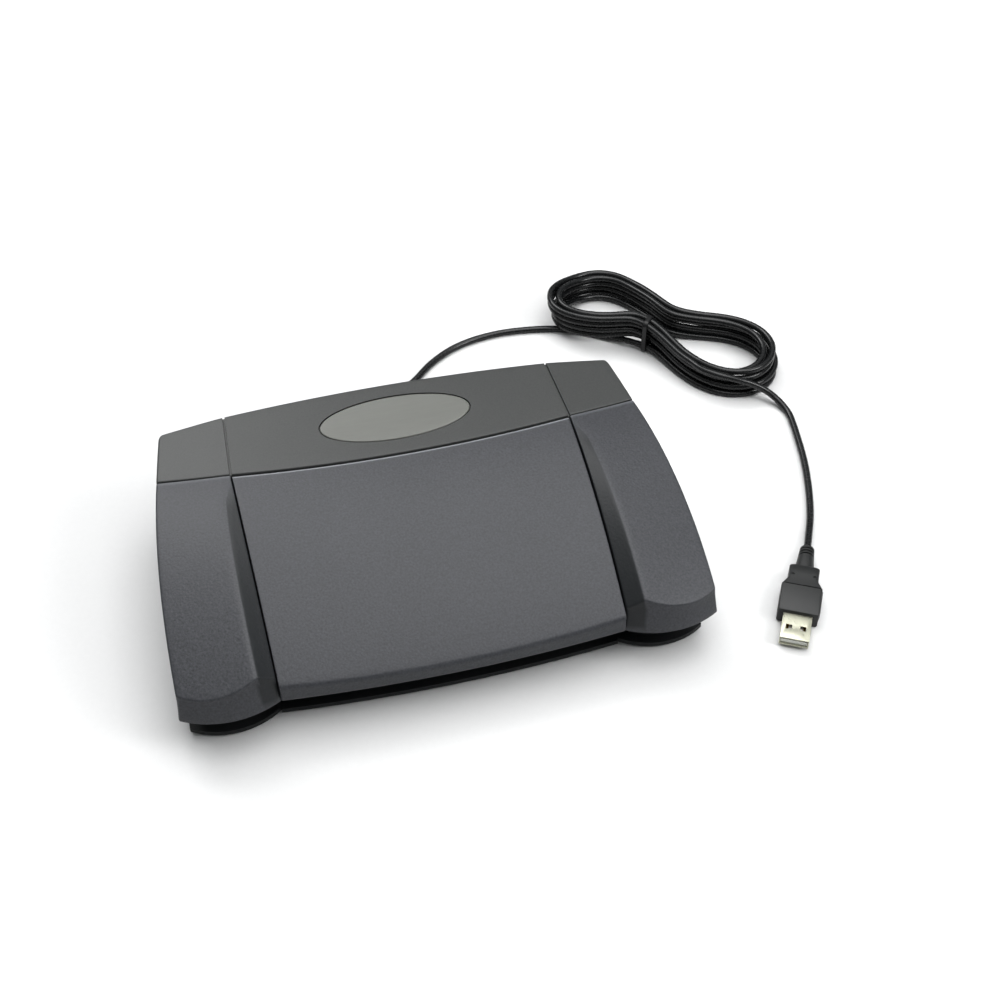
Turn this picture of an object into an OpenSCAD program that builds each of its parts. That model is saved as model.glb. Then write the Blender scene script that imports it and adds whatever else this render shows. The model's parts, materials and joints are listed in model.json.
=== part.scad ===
// Three-pedal foot switch with a hanked cord and a flat plug.
// X runs to the right, Y to the rear, Z up; the origin is on the floor under the middle of the body.

/* [Body] */
// Width of the body across its widest point
body_w = 213.8; // [206:0.2:224]
// Depth of the body from the pedal noses to the rear wall
body_d = 135; // [132:0.5:145]
// Wall of the moulded shells
wall = 2.4; // [2:0.1:3]
// Radius of the bowed outer sides
side_bow_r = 650; // [560:10:900]
// Distance of the widest point behind the pedal noses
widest_back = 21; // [15:1:30]
// Gap between neighbouring shells
shell_gap = 0.8; // [0.6:0.1:1.2]

/* [Pedals] */
// Distance of the front end of a pedal seam inside the body's widest point
seam_front_in = 37.9; // [36:0.1:43]
// Distance of a pedal seam inside the body's widest point at the cross seam
seam_mid_in = 35.1; // [33:0.1:37]
// Distance of a cover groove inside the body's widest point at the rear wall
seam_rear_in = 36.7; // [34:0.1:39]
// Height of the pedals' lower edge above the floor
pedal_low = 18.9; // [18:0.1:21]
// Crest height of the centre pedal
centre_top = 51.7; // [50:0.1:53]
// Height of the centre pedal's arched top at its front edge
centre_low = 24.9; // [23.5:0.1:27]
// Radius of the centre pedal's bowed front edge
centre_bow_r = 700; // [500:10:1200]
// Set-back of the centre pedal's front edge behind the noses
centre_back = 1.9; // [1:0.1:4]
// Crest height of the side pedals at the seam
side_top = 52.3; // [52:0.1:54]
// Height of the side pedals' arched tops at the noses
side_low = 32; // [30:0.1:34]
// Outward fall of the side pedals' tops
side_fall = 3; // [2:0.5:5]
// Turn of the side pedals' arches in plan
side_turn = 14; // [8:1:18]
// Distance of a nose's centre inside the body's widest point
nose_in = 18.9; // [17:0.1:22]
// Radius of a pedal nose at its lower edge
nose_r = 38; // [35:0.5:42]
// Lean of the nose's face from the upright
nose_lean = 16; // [8:1:20]
// Width of the inner slope at the nose
slope_w = 7.2; // [5:0.2:9]
// Width of the inner slope at the cross seam
slope_rear_w = 2.6; // [2:0.2:4]
// Thickness of the stiffening ribs
rib_t = 2; // [1.6:0.2:3]
// Depth of the stiffening ribs below the skin
rib_h = 6; // [4:0.5:8]

/* [Hinge] */
// Distance of the pivot rod in front of the rear wall
rod_back = 23.5; // [22:0.5:25]
// Height of the pivot rod
rod_z = 30; // [28:0.5:31]
// Diameter of the pivot rod
rod_d = 5; // [4:0.5:6]
// Running clearance of the pedal bores on the rod
rod_clear = 0.05; // [0.03:0.01:0.08]
// Thickness of the hinge arms and the rod posts
arm_t = 5; // [4:0.5:6]
// Full swing of a pedal
swing = 6; // [4:0.5:6]

/* [Rear cover] */
// Middle of the cross seam ahead of the rear wall
cross_seam = 40.5; // [38:0.5:42]
// Radius of the bowed cross seam
cross_bow_r = 600; // [450:10:1200]
// Radius of the bowed rear wall
rear_bow_r = 800; // [600:10:1200]
// Slope of the cover's top, rising to the rear
cover_rise = 4; // [2:0.5:5]
// Length of the oval badge
badge_l = 64.4; // [56:0.2:70]
// Width of the oval badge
badge_w = 24.6; // [20:0.2:25]
// Thickness of the badge plate
badge_t = 1.2; // [1:0.1:1.6]

/* [Base] */
// Height of the rubber feet below the base
foot_h = 1.5; // [1:0.1:2.5]
// Diameter of the rubber feet
foot_d = 15; // [12:0.5:18]
// Thickness of the base floor
floor_t = 2.2; // [2:0.1:3]
// Set-back of the base edge below the pedal noses
lip_back = 8; // [7:0.5:10]
// Set-back of the base edge at the sides
lip_side = 2; // [1.5:0.25:3]
// Thickness of the steel ballast plate
ballast_t = 4; // [2:0.5:5]
// Depth of the ballast plate, front to rear
ballast_d = 20; // [16:1:22]

/* [Switches] */
// Lever distance of the switches in front of the rod
switch_lever = 20; // [18:0.5:21]
// Side length of a switch body
switch_w = 10; // [9:0.5:12]
// Height of a switch body
switch_h = 8; // [7:0.5:9]
// Diameter of a plunger
plunger_d = 5; // [4:0.5:6]
// Length of plunger that stands out of the switch
plunger_out = 4; // [3.5:0.25:5]
// Thickness of the circuit board
board_t = 1.6; // [1.2:0.2:2]
// Width of the circuit board, front to rear
board_w = 22; // [20:0.5:23]
// Height of the board's posts above the base floor
post_h = 5.3; // [4:0.1:6]

/* [Springs] */
// Mean diameter of the return springs
spring_d = 11; // [9:0.5:13]
// Wire diameter of the return springs
wire_d = 1.4; // [1:0.1:1.8]
// Curls in a return spring
spring_curls = 7; // [5:1:9]

/* [Cord] */
// Diameter of the cord
cord_d = 3.2; // [2.8:0.1:3.2]
// Loops in the hank
hank_loops = 7; // [7]
// Layers in the hank
hank_layers = 4; // [4]
// Height from one layer of the hank to the next
hank_step = 3.9; // [3.8:0.1:4.5]
// Sideways step from one loop to the next
hank_pitch = 4.2; // [4:0.1:4.6]
// Half width of the hank at its waist
waist_half = 6.2; // [6:0.1:8]

/* [Plug] */
// Width of the plug's moulded grip
grip_w = 17.7; // [16:0.1:19]
// Thickness of the plug's moulded grip
grip_t = 8; // [7:0.1:9]
// Length of the plug's moulded grip
grip_l = 27; // [24:0.5:30]
// Width of the plug's metal shell
shell_w = 12; // [11.9:0.05:12.1]
// Thickness of the plug's metal shell
shell_t = 4.5; // [4.4:0.05:4.6]
// Length of metal shell that stands out of the grip
shell_l = 13.4; // [12:0.1:14]
// Sheet thickness of the metal shell
sheet_t = 0.4; // [0.3:0.05:0.5]

/* [Hidden] */
$fn = 48;
arc_fn = 720;
eps = 0.01;

// Heights and places that follow from the sizes above
front_y = -body_d / 2;
rear_y = body_d / 2;
half_w = body_w / 2;
seam_front = half_w - seam_front_in;
seam_mid = half_w - seam_mid_in;
seam_rear = half_w - seam_rear_in;
nose_x = half_w - nose_in;
widest_y = front_y + widest_back;
lip_z = foot_h;
floor_z = foot_h + floor_t;
tall = 90;
cross_y = rear_y - cross_seam;
junction_y = cross_y + seam_mid * seam_mid / (2 * cross_bow_r);
nose_y = front_y + nose_r;
nose_taper = tan(nose_lean);
centre_front = front_y + centre_back;
centre_crest_back = 30;
centre_crest = rear_y - centre_crest_back;
side_crest_back = 42;
side_crest = rear_y - side_crest_back;
rod_y = rear_y - rod_back;
rod_r = rod_d / 2;
bore_r = rod_r + rod_clear;
seat_gap = 0.3;
base_wall = 2;
wall_back = lip_back + 4;
pad_d = 9;
stop_y = front_y + wall_back + base_wall + 3 + pad_d / 2;
ballast_y = stop_y + pad_d / 2 + 1.6 + ballast_d / 2;
spring_y = ballast_y + ballast_d / 2 + 3 + wire_d + spring_d / 2;
grain = "#5f6063";
dark = "#1d1e20";

// Radius of an arch that falls by drop over run
function arch_r(run, drop) = (run * run + drop * drop) / (2 * drop);
centre_arch_r = arch_r(centre_crest - centre_front, centre_top - centre_low);
side_run = side_crest - front_y;
side_arch_r = arch_r(side_run * cos(side_turn),
    (side_top - side_low + side_run * sin(side_turn) * tan(side_fall)) * cos(side_fall));

// Half width of the centre pedal along the seam, and of the centre cover panel behind it
function seam_half(y) = seam_mid
    - (junction_y - y) * (seam_mid - seam_front) / (junction_y - centre_front);
function panel_half(y) = seam_mid
    - (y - junction_y) * (seam_mid - seam_rear) / (rear_y - junction_y);
// Top of the centre pedal and of a side pedal
function centre_z(y) = centre_top - centre_arch_r + sqrt(pow(centre_arch_r, 2) - pow(y - centre_crest, 2));
function side_z(x, y) =
    let (out = (x - seam_mid) * cos(side_turn) + (y - side_crest) * sin(side_turn),
        back = (y - side_crest) * cos(side_turn) - (x - seam_mid) * sin(side_turn))
    side_top - out * tan(side_fall)
    - (side_arch_r - sqrt(pow(side_arch_r, 2) - pow(back, 2))) / cos(side_fall);

// A closed skin through rings of points, each ring with the same number of points
module skin(rings) {
    n = len(rings[0]);
    last = len(rings) - 1;
    points = [for (ring = rings) each ring];
    walls = [for (i = [0 : last - 1], j = [0 : n - 1])
        let (a = i * n + j, b = i * n + (j + 1) % n)
        each [[a, b, a + n], [b, b + n, a + n]]];
    start = [for (j = [1 : n - 2]) [0, j + 1, j]];
    finish = [for (j = [1 : n - 2]) [last * n, last * n + j, last * n + j + 1]];
    polyhedron(points, concat(start, walls, finish), convexity = 10);
}

// Rings of a round tube along a path
function unit(v) = v / norm(v);
function heading(p, i) = unit(p[min(i + 1, len(p) - 1)] - p[max(i - 1, 0)]);
function ring(c, t, r, sides) =
    let (side = unit(cross([0, 0, 1], t)), up = cross(t, side))
    [for (k = [0 : sides - 1]) c + r * (cos(360 * k / sides) * side + sin(360 * k / sides) * up)];
function tube(path, r, sides) = [for (i = [0 : len(path) - 1]) ring(path[i], heading(path, i), r, sides)];

// A smooth curve through hand-chosen points
function bend(a, b, c, d, t) = 0.5 * (2 * b + (c - a) * t + (2 * a - 5 * b + 4 * c - d) * t * t
    + (3 * b - a - 3 * c + d) * t * t * t);
function smooth(p, steps) = let (m = len(p) - 1) concat(
    [for (i = [0 : m - 1], k = [0 : steps - 1])
        bend(p[max(i - 1, 0)], p[i], p[i + 1], p[min(i + 2, m)], k / steps)], [p[m]]);
function ease(t) = let (c = min(max(t, 0), 1)) c * c * (3 - 2 * c);

// Plan outlines
module body_sides(inset) {
    intersection() {
        translate([half_w - side_bow_r, widest_y]) circle(r = side_bow_r - inset, $fn = arc_fn);
        translate([side_bow_r - half_w, widest_y]) circle(r = side_bow_r - inset, $fn = arc_fn);
    }
}

module rear_bow(inset) {
    translate([0, rear_y - rear_bow_r]) circle(r = rear_bow_r - inset, $fn = arc_fn);
}

module cross_bow(grow) {
    translate([0, cross_y + cross_bow_r]) circle(r = cross_bow_r + grow, $fn = arc_fn);
}

module slab(low, high) {
    translate([0, 0, low]) linear_extrude(high - low) children();
}

// Room behind the cross seam, leaning forward towards the floor so that a pedal can swing
module cross_cut() {
    relief = (rod_z - pedal_low) * sin(swing) + seat_gap;
    lean = relief / (centre_top - pedal_low);
    bottom_r = cross_bow_r + shell_gap + relief + lean * pedal_low;
    translate([0, cross_y + cross_bow_r, 0])
        cylinder(h = tall, r1 = bottom_r, r2 = bottom_r - lean * tall, $fn = arc_fn);
}

// Centre pedal
module centre_plan(inset) {
    ahead = front_y - 10;
    behind = rear_y;
    edge = shell_gap / 2 + inset;
    intersection() {
        polygon([[seam_half(ahead) - edge, ahead], [seam_half(behind) - edge, behind],
            [edge - seam_half(behind), behind], [edge - seam_half(ahead), ahead]]);
        translate([0, centre_front + centre_bow_r]) circle(r = centre_bow_r - inset, $fn = arc_fn);
    }
}

module centre_under(inset) {
    translate([-body_w, centre_crest, centre_top - centre_arch_r]) rotate([0, 90, 0])
        cylinder(r = centre_arch_r - inset, h = 2 * body_w, $fn = arc_fn);
}

module centre_block(inset, low) {
    intersection() {
        slab(low, tall) centre_plan(inset);
        centre_under(inset);
    }
}

// Side pedal, drawn on the right
module side_plan(inset) {
    ahead = front_y - 10;
    behind = rear_y + 10;
    edge = shell_gap / 2 + inset;
    intersection() {
        body_sides(inset);
        polygon([[seam_half(ahead) + edge, ahead], [body_w, ahead], [body_w, behind],
            [seam_half(behind) + edge, behind]]);
    }
}

module nose(inset) {
    low_r = nose_r - inset + pedal_low * nose_taper;
    translate([nose_x, nose_y, 0]) cylinder(h = tall, r1 = low_r, r2 = low_r - tall * nose_taper);
    translate([0, nose_y, 0]) cube([body_w, body_d, tall]);
}

module side_under(inset) {
    translate([seam_mid, side_crest, side_top]) rotate([0, side_fall, side_turn])
        translate([-seam_mid, 0, -side_arch_r]) rotate([0, 90, 0])
        cylinder(r = side_arch_r - inset, h = 2 * body_w, $fn = arc_fn);
}

// Everything above the inner slope, which twists from a narrow bevel to a wide wall at the nose
module slope_cut(drop) {
    stations = 16;
    over = 2;
    ahead = front_y - 4;
    rings = [for (i = [0 : stations])
        let (y = ahead + (rear_y - ahead) * i / stations,
            t = max(0, (y - front_y) / (junction_y - front_y)),
            w = slope_w - (slope_w - slope_rear_w) * pow(min(t, 1), 3),
            x = seam_half(min(y, junction_y)),
            low = centre_z(y) + shell_gap,
            rise = max(0.12, (side_z(x + w, y) - low) / w))
        [[x - over, y, low - over * rise - drop], [x + 2 * w, y, low + 2 * w * rise - drop],
            [x + 2 * w, y, tall + over], [x - over, y, tall + over]]];
    skin(rings);
}

module side_block(inset, low) {
    difference() {
        intersection() {
            slab(low, tall) side_plan(inset);
            nose(inset);
            side_under(inset);
        }
        slope_cut(inset);
    }
}

// Hinge arm of a pedal: a web from under the skin back to a bored barrel on the rod
module arm_web(x) {
    barrel_r = rod_r + wall;
    translate([x - arm_t / 2, 0, 0]) rotate([90, 0, 90]) linear_extrude(arm_t) difference() {
        union() {
            translate([rod_y, rod_z]) circle(barrel_r);
            polygon([[rod_y, rod_z + barrel_r], [rod_y - barrel_r, rod_z - barrel_r / 2],
                [cross_y - 22, rod_z + 9], [cross_y - 22, tall], [cross_y - 6, tall],
                [cross_y - 6, rod_z + 14]]);
        }
        translate([rod_y, rod_z]) circle(bore_r);
    }
}

// Webs, ribs, striker, stop and spring seat of a pedal, cut off at its own outer skin
striker_y = rod_y - switch_lever;
striker_d = 7;
board_z = floor_z + post_h;
switch_top = board_z + board_t + switch_h;
striker_low = switch_top + plunger_out + seat_gap;
spring_low = floor_z + 2;
spring_high = 38.2;
spigot_r = spring_d / 2 - wire_d / 2 - 1.2;
stop_lever = rod_y - stop_y;
stop_top = floor_z + 6;
stop_low = rod_z + (stop_top + seat_gap - rod_z + stop_lever * sin(swing)) / cos(swing);

module spring_seat(x) {
    translate([x, spring_y, spring_high + seat_gap]) cylinder(r = spring_d / 2 + wire_d, h = tall);
    translate([x, spring_y, spring_high - 4]) cylinder(r = spigot_r, h = tall);
}

module striker(x) {
    translate([x, striker_y, striker_low]) cylinder(d = striker_d, h = tall);
}

module stop_rib(x, w) {
    translate([x - w / 2, stop_y - rib_t / 2, stop_low]) cube([w, rib_t, tall]);
}

module pedal_ribs(xs) {
    rib_front = front_y + wall_back + base_wall + 6;
    difference() {
        union() {
            for (x = xs) translate([x - rib_t / 2, rib_front, 0])
                cube([rib_t, cross_y - 10 - rib_front, tall]);
            for (y = [front_y + 35, front_y + 78]) translate([-body_w, y, 0])
                cube([2 * body_w, rib_t, tall]);
        }
        for (x = xs) translate([x, spring_y, 0])
            cylinder(r = spring_d / 2 + wire_d, h = spring_high + seat_gap);
    }
}

arm_in = 13.8;
centre_arms = [arm_in - seam_mid, seam_mid - arm_in];
centre_switch_x = 20;
centre_springs = [-0.5, 0.5] * seam_mid;
side_arms = [seam_mid + 7.2, half_w - 17.4];
side_switch_x = nose_x - 3.5;

module centre_pedal() {
    color(grain) difference() {
        union() {
            difference() {
                centre_block(0, pedal_low);
                centre_block(wall, -1);
            }
            intersection() {
                centre_block(wall / 2, -1);
                union() {
                    for (x = centre_arms) arm_web(x);
                    for (x = centre_springs) spring_seat(x);
                    striker(centre_switch_x);
                    stop_rib(0, 60);
                    difference() {
                        pedal_ribs(concat(centre_springs, [0]));
                        centre_under(wall + rib_h);
                    }
                }
            }
            arms_behind(centre_arms);
        }
        difference() {
            cross_cut();
            hinge_slots(centre_arms);
        }
    }
}

// Room below the cover's skin where the hinge arms run
module hinge_slots(xs) {
    ahead = 8;
    depth = rod_y + rod_r + 2 * wall - cross_y + ahead;
    for (x = xs) translate([x - arm_t / 2, cross_y - ahead, -1]) cube([arm_t, depth, rod_z + 15]);
}

module arms_behind(xs) {
    intersection() {
        for (x = xs) arm_web(x);
        hinge_slots(xs);
    }
}

module side_pedal() {
    difference() {
        union() {
            difference() {
                side_block(0, pedal_low);
                side_block(wall, -1);
            }
            intersection() {
                side_block(wall / 2, -1);
                union() {
                    for (x = side_arms) arm_web(x);
                    spring_seat(nose_x);
                    striker(side_switch_x);
                    stop_rib(nose_x, 20);
                    difference() {
                        pedal_ribs([nose_x]);
                        side_under(wall + rib_h);
                    }
                }
            }
            arms_behind(side_arms);
        }
        difference() {
            cross_cut();
            hinge_slots(side_arms);
        }
    }
}

module right_pedal() {
    color(grain) side_pedal();
}

module left_pedal() {
    color(grain) mirror([1, 0, 0]) side_pedal();
}

// Return springs: one unbroken wire each
module coil(x) {
    per_curl = 8;
    count = spring_curls * per_curl;
    r = wire_d / 2;
    path = [for (i = [0 : count]) [x + spring_d / 2 * cos(360 * i / per_curl),
        spring_y + spring_d / 2 * sin(360 * i / per_curl),
        spring_low + r + (spring_high - spring_low - wire_d) * i / count]];
    skin(tube(path, r, 6));
}

module left_return_spring() {
    color("silver") coil(-nose_x);
}

module centre_return_springs() {
    color("silver") for (x = centre_springs) coil(x);
}

module right_return_spring() {
    color("silver") coil(nose_x);
}

// Base tray: floor with its lip, a set-back wall, rod posts, board posts, spring pegs and bosses
module base_plan(front_in, side_in) {
    nose_in = nose_r - front_in;
    intersection() {
        body_sides(side_in);
        rear_bow(lip_flush);
        union() {
            translate([0, centre_front + front_in + centre_bow_r]) intersection() {
                circle(r = centre_bow_r, $fn = arc_fn);
                translate([-seam_front, -centre_bow_r]) square([2 * seam_front, body_d / 2]);
            }
            for (s = [-1, 1]) translate([s * nose_x, nose_y]) circle(r = nose_in);
            translate([-body_w, nose_y]) square([2 * body_w, body_d]);
        }
    }
}

lip_flush = 0.6;
seam_notch = 9;
wall_top = pedal_low - 1.5;
wall_side = lip_side + wall + 1.2;
screw_d = 3;
head_d = 6;
head_t = 1.4;
boss_d = 10;
boss_z = floor_z + 3;
screw_spots = [for (s = [-1, 1], p = [[half_w - 22.7, 13], [seam_mid - 37.8, 12]])
    [s * p[0], rear_y - p[1]]];
foot_spots = [for (s = [-1, 1], y = [front_y + 22, rear_y - 27]) [s * (nose_x - 4), y]];
post_xs = [-(half_w - 12.5), -seam_mid + 2.2, seam_mid - 2.2, half_w - 12.5];
board_l = 2 * (half_w - 22);
board_y = striker_y - 1;
board_posts = [for (x = [-board_l / 2 + 5, -30, 50, board_l / 2 - 5]) [x, board_y - board_w / 2 + 4]];
peg_r = spigot_r;
ballast_l = 2 * (half_w - 16);
ballast_peg_d = 5;
ballast_pegs = [for (x = [-ballast_l / 2 + 14, 0, ballast_l / 2 - 14]) [x, ballast_y]];

module rod_post(x) {
    top_r = rod_r + 3.5;
    translate([x - arm_t / 2 + 0.5, 0, 0]) rotate([90, 0, 90]) linear_extrude(arm_t - 1) difference() {
        union() {
            translate([rod_y, rod_z]) circle(top_r);
            polygon([[rod_y - 9, floor_z - eps], [rod_y + 9, floor_z - eps], [rod_y + top_r, rod_z],
                [rod_y - top_r, rod_z]]);
        }
        translate([rod_y, rod_z]) circle(rod_r);
    }
}

module base_tray() {
    color(dark) difference() {
        union() {
            slab(lip_z, floor_z) {
                base_plan(lip_back, lip_side);
                intersection() {
                    base_plan(lip_back, lip_flush);
                    cross_bow(0);
                }
            }
            intersection() {
                slab(floor_z - eps, tall) difference() {
                    base_plan(wall_back, wall_side);
                    base_plan(wall_back + base_wall, wall_side + base_wall);
                    for (s = [-1, 1]) translate([s * (seam_front + seam_notch / 8), front_y])
                        square([seam_notch, body_d / 2], center = true);
                }
                wall_under();
            }
            for (x = post_xs) rod_post(x);
            for (p = board_posts) translate([p[0], p[1], floor_z - eps]) cylinder(d = 6, h = post_h + eps);
            for (x = concat([-nose_x, nose_x], centre_springs)) translate([x, spring_y, floor_z - eps]) {
                cylinder(r = spring_d / 2 + wire_d, h = spring_low - floor_z - seat_gap + eps);
                cylinder(r = peg_r, h = spring_low - floor_z + 6);
            }
            for (p = ballast_pegs) translate([p[0], p[1], floor_z - eps])
                cylinder(d = ballast_peg_d, h = ballast_t + 1);
            for (p = screw_spots) translate([p[0], p[1], floor_z - eps])
                cylinder(d = boss_d, h = boss_z - floor_z);
        }
        for (p = screw_spots) translate([p[0], p[1], 0]) {
            cylinder(d = screw_d + 0.2, h = tall);
            cylinder(d = head_d + 0.4, h = lip_z + head_t + 0.4);
        }
        for (p = board_posts) translate([p[0], p[1], floor_z + 1]) cylinder(d = 2, h = tall);
        for (p = foot_spots) translate([p[0], p[1], 0]) cylinder(d = foot_d + 0.2, h = lip_z + foot_recess);
    }
}

// The base wall's top climbs to the rear and stays below the pressed pedals
module wall_under() {
    steep_run = 40;
    rear_rise = 6;
    mid_rise = 5;
    translate([-body_w, 0, 0]) rotate([90, 0, 90]) linear_extrude(2 * body_w)
        polygon([[front_y, 0], [cross_y, 0], [cross_y, pedal_low + rear_rise],
            [cross_y - steep_run, pedal_low + mid_rise], [front_y + wall_back + 4, wall_top],
            [front_y, wall_top]]);
}

foot_recess = 0.6;
foot_edge = 1;
module rubber_feet() {
    color("#101010") for (p = foot_spots) translate([p[0], p[1], 0])
        rotate_extrude() polygon([[0, 0], [foot_d / 2 - foot_edge, 0], [foot_d / 2, foot_edge],
            [foot_d / 2, foot_h + foot_recess], [0, foot_h + foot_recess]]);
}

module weight_plate() {
    color("slategray") difference() {
        translate([-ballast_l / 2, ballast_y - ballast_d / 2, floor_z])
            cube([ballast_l, ballast_d, ballast_t]);
        for (p = ballast_pegs) translate([p[0], p[1], 0]) cylinder(d = ballast_peg_d + 0.4, h = tall);
    }
}

module bump_stops() {
    inner_x = 20;
    color("#101010") for (x = [-nose_x, -inner_x, inner_x, nose_x]) translate([x, stop_y, floor_z])
        difference() {
            cylinder(d = pad_d, h = stop_top - floor_z);
            translate([0, 0, 1.5]) rotate_extrude() translate([pad_d / 2 + 0.4, 0]) circle(r = 0.9);
        }
}

module pivot_rod() {
    length = 2 * (half_w - 9.5);
    color("silver") translate([-length / 2, rod_y, rod_z]) rotate([0, 90, 0]) {
        cylinder(r = rod_r, h = length);
    }
}

// Rear cover: one moulded shell with three panels, screw bosses and the badge pocket
cover_z = centre_z(cross_y) + 0.3;
relief_r = 4.5;
cable_z = board_z + board_t + 3.6;
badge_y = cross_y + cross_seam / 2;
badge_gap = 0.5;
groove_w = shell_gap;
groove_d = 0.9;

module cover_under(inset) {
    translate([0, cross_y, cover_z]) rotate([cover_rise, 0, 0])
        translate([-body_w, -body_d, -tall]) cube([2 * body_w, 2 * body_d, tall - inset]);
}

module panel_under(inset) {
    translate([seam_mid, cross_y, cover_z]) rotate([cover_rise, side_fall, 0])
        translate([-body_w, -body_d, -tall]) cube([2 * body_w, 2 * body_d, tall - inset]);
}

module cover_block(inset, low) {
    intersection() {
        slab(low, tall) intersection() {
            body_sides(inset);
            rear_bow(inset);
            cross_bow(inset > 0 ? 10 : 0);
        }
        cover_under(inset);
        panel_under(inset);
        mirror([1, 0, 0]) panel_under(inset);
    }
}

module oval(length, width) {
    points = 72;
    polygon([for (i = [0 : points - 1]) let (a = 360 * i / points)
        [length / 2 * cos(a), width / 2 * sin(a)]]);
}

module on_cover(depth) {
    translate([0, badge_y, cover_z + (badge_y - cross_y) * tan(cover_rise)]) rotate([cover_rise, 0, 0])
        translate([0, 0, -depth]) children();
}

module rear_cover() {
    color("#5c5d5e") difference() {
        union() {
            difference() {
                cover_block(0, floor_z);
                cover_block(wall, -1);
            }
            intersection() {
                cover_block(wall / 2, floor_z);
                union() {
                    for (p = screw_spots) translate([p[0], p[1], boss_z]) cylinder(d = 8, h = tall);
                    on_cover(badge_t + wall) linear_extrude(tall)
                        oval(badge_l + 2 * wall, badge_w + 2 * wall);
                }
            }
        }
        for (p = screw_spots) translate([p[0], p[1], 0]) cylinder(d = screw_d - 0.5, h = boss_z + 14);
        on_cover(badge_t) linear_extrude(tall) oval(badge_l + 2 * badge_gap, badge_w + 2 * badge_gap);
        for (s = [0, 1]) mirror([s, 0, 0]) panel_groove();
        translate([0, rear_y - 8, cable_z]) rotate([-90, 0, 0]) cylinder(r = relief_r, h = 20);
    }
}

// Shallow groove that carries the pedal seam on over the cover
module panel_groove() {
    ahead = cross_y;
    behind = rear_y + 5;
    translate([0, junction_y, cover_z + (junction_y - cross_y) * tan(cover_rise)]) rotate([cover_rise, 0, 0])
        translate([0, -junction_y, -groove_d]) linear_extrude(tall)
        polygon([[panel_half(ahead) - groove_w / 2, ahead], [panel_half(ahead) + groove_w / 2, ahead],
            [panel_half(behind) + groove_w / 2, behind], [panel_half(behind) - groove_w / 2, behind]]);
}

module badge_plate() {
    color("#9b9c98") on_cover(badge_t) linear_extrude(badge_t) oval(badge_l, badge_w);
}

module cover_screws() {
    bite = 8;
    color("dimgray") for (p = screw_spots) translate([p[0], p[1], lip_z]) difference() {
        union() {
            translate([0, 0, 0.4]) cylinder(d = head_d, h = head_t);
            translate([0, 0, 0.4 + head_t - eps]) cylinder(d = screw_d - 0.5, h = boss_z - lip_z + bite);
        }
        for (a = [0, 90]) rotate([0, 0, a]) translate([-1.8, -0.4, 0]) cube([3.6, 0.8, 1.1]);
    }
}

// Circuit board and what is soldered to it
module circuit_board() {
    color("darkgreen") difference() {
        translate([-board_l / 2, board_y - board_w / 2, board_z]) cube([board_l, board_w, board_t]);
        for (p = board_posts) translate([p[0], p[1], 0]) cylinder(d = 2.4, h = tall);
    }
}

module board_screws() {
    color("silver") for (p = board_posts) translate([p[0], p[1], board_z + board_t]) difference() {
        union() {
            cylinder(d = 4.4, h = 1.4);
            translate([0, 0, -5]) cylinder(d = 2, h = 5 + eps);
        }
        translate([-1.5, -0.3, 0.8]) cube([3, 0.6, 2]);
    }
}

module controller_chip() {
    chip = 7;
    pins = 6;
    color("#202225") translate([-14, board_y - 2, board_z + board_t]) {
        translate([-chip / 2, -chip / 2, 0.15]) cube([chip, chip, 1.4]);
        for (i = [0 : pins - 1]) translate([-chip / 2 + 0.6 + i * 1.08, -chip / 2 - 1, 0])
            cube([0.4, chip + 2, 0.3]);
    }
}

header_y = board_y + board_w / 2 - 6;
module cable_header() {
    color("ivory") translate([0, header_y, board_z + board_t]) difference() {
        translate([-6, -4, 0]) cube([12, 8, 7]);
        translate([0, 0, cable_z - board_z - board_t]) rotate([-90, 0, 0]) cylinder(d = cord_d, h = 10);
    }
}

module switch_body(x) {
    color("#26282b") translate([x, striker_y, board_z + board_t]) difference() {
        union() {
            translate([-switch_w / 2, -switch_w / 2, 0]) cube([switch_w, switch_w, switch_h - 1.5]);
            cylinder(d = switch_w - 2, h = switch_h);
        }
        translate([0, 0, 0.8]) cylinder(d = plunger_d + 0.16, h = tall);
    }
}

module plunger(x) {
    inside = switch_h - 0.8 - switch_lever * swing * PI / 180 - seat_gap;
    color("#b5473c") translate([x, striker_y, switch_top - inside])
        rotate_extrude() polygon([[0, 0], [plunger_d / 2, 0], [plunger_d / 2, inside + plunger_out - 0.6],
            [plunger_d / 2 - 0.6, inside + plunger_out], [0, inside + plunger_out]]);
}

module left_switch() {
    switch_body(-side_switch_x);
}

module centre_switch() {
    switch_body(centre_switch_x);
}

module right_switch() {
    switch_body(side_switch_x);
}

module left_plunger() {
    plunger(-side_switch_x);
}

module centre_plunger() {
    plunger(centre_switch_x);
}

module right_plunger() {
    plunger(side_switch_x);
}

// Strain relief: a grommet in the rear wall with a ribbed, tapered sleeve outside
cord_r = cord_d / 2;
relief_out = 18;
relief_end = rear_y + relief_out;
module strain_relief() {
    neck = wall + 0.2;
    ribs = 4;
    rib_step = (relief_out - 4) / ribs;
    color(dark) translate([0, rear_y, cable_z]) rotate([-90, 0, 0]) rotate_extrude() difference() {
        union() {
            translate([0, -neck - 2]) square([relief_r + 1.6, 2]);
            translate([0, -neck - eps]) square([relief_r - 0.1, neck + 1]);
            square([relief_r + 1.6, 2]);
            polygon([[0, 0], [relief_r, 2 - eps], [cord_r + 1, relief_out], [0, relief_out]]);
            for (i = [0 : ribs - 1]) translate([0, 3.4 + i * rib_step])
                square([relief_r + 0.4 - i * 0.45, rib_step * 0.55]);
        }
        translate([0, -neck - 3]) square([cord_r, neck + relief_out + 4]);
    }
}

module inner_lead() {
    color(dark) translate([0, header_y, cable_z]) rotate([-90, 0, 0])
        cylinder(r = cord_r, h = relief_end - header_y);
}

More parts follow.
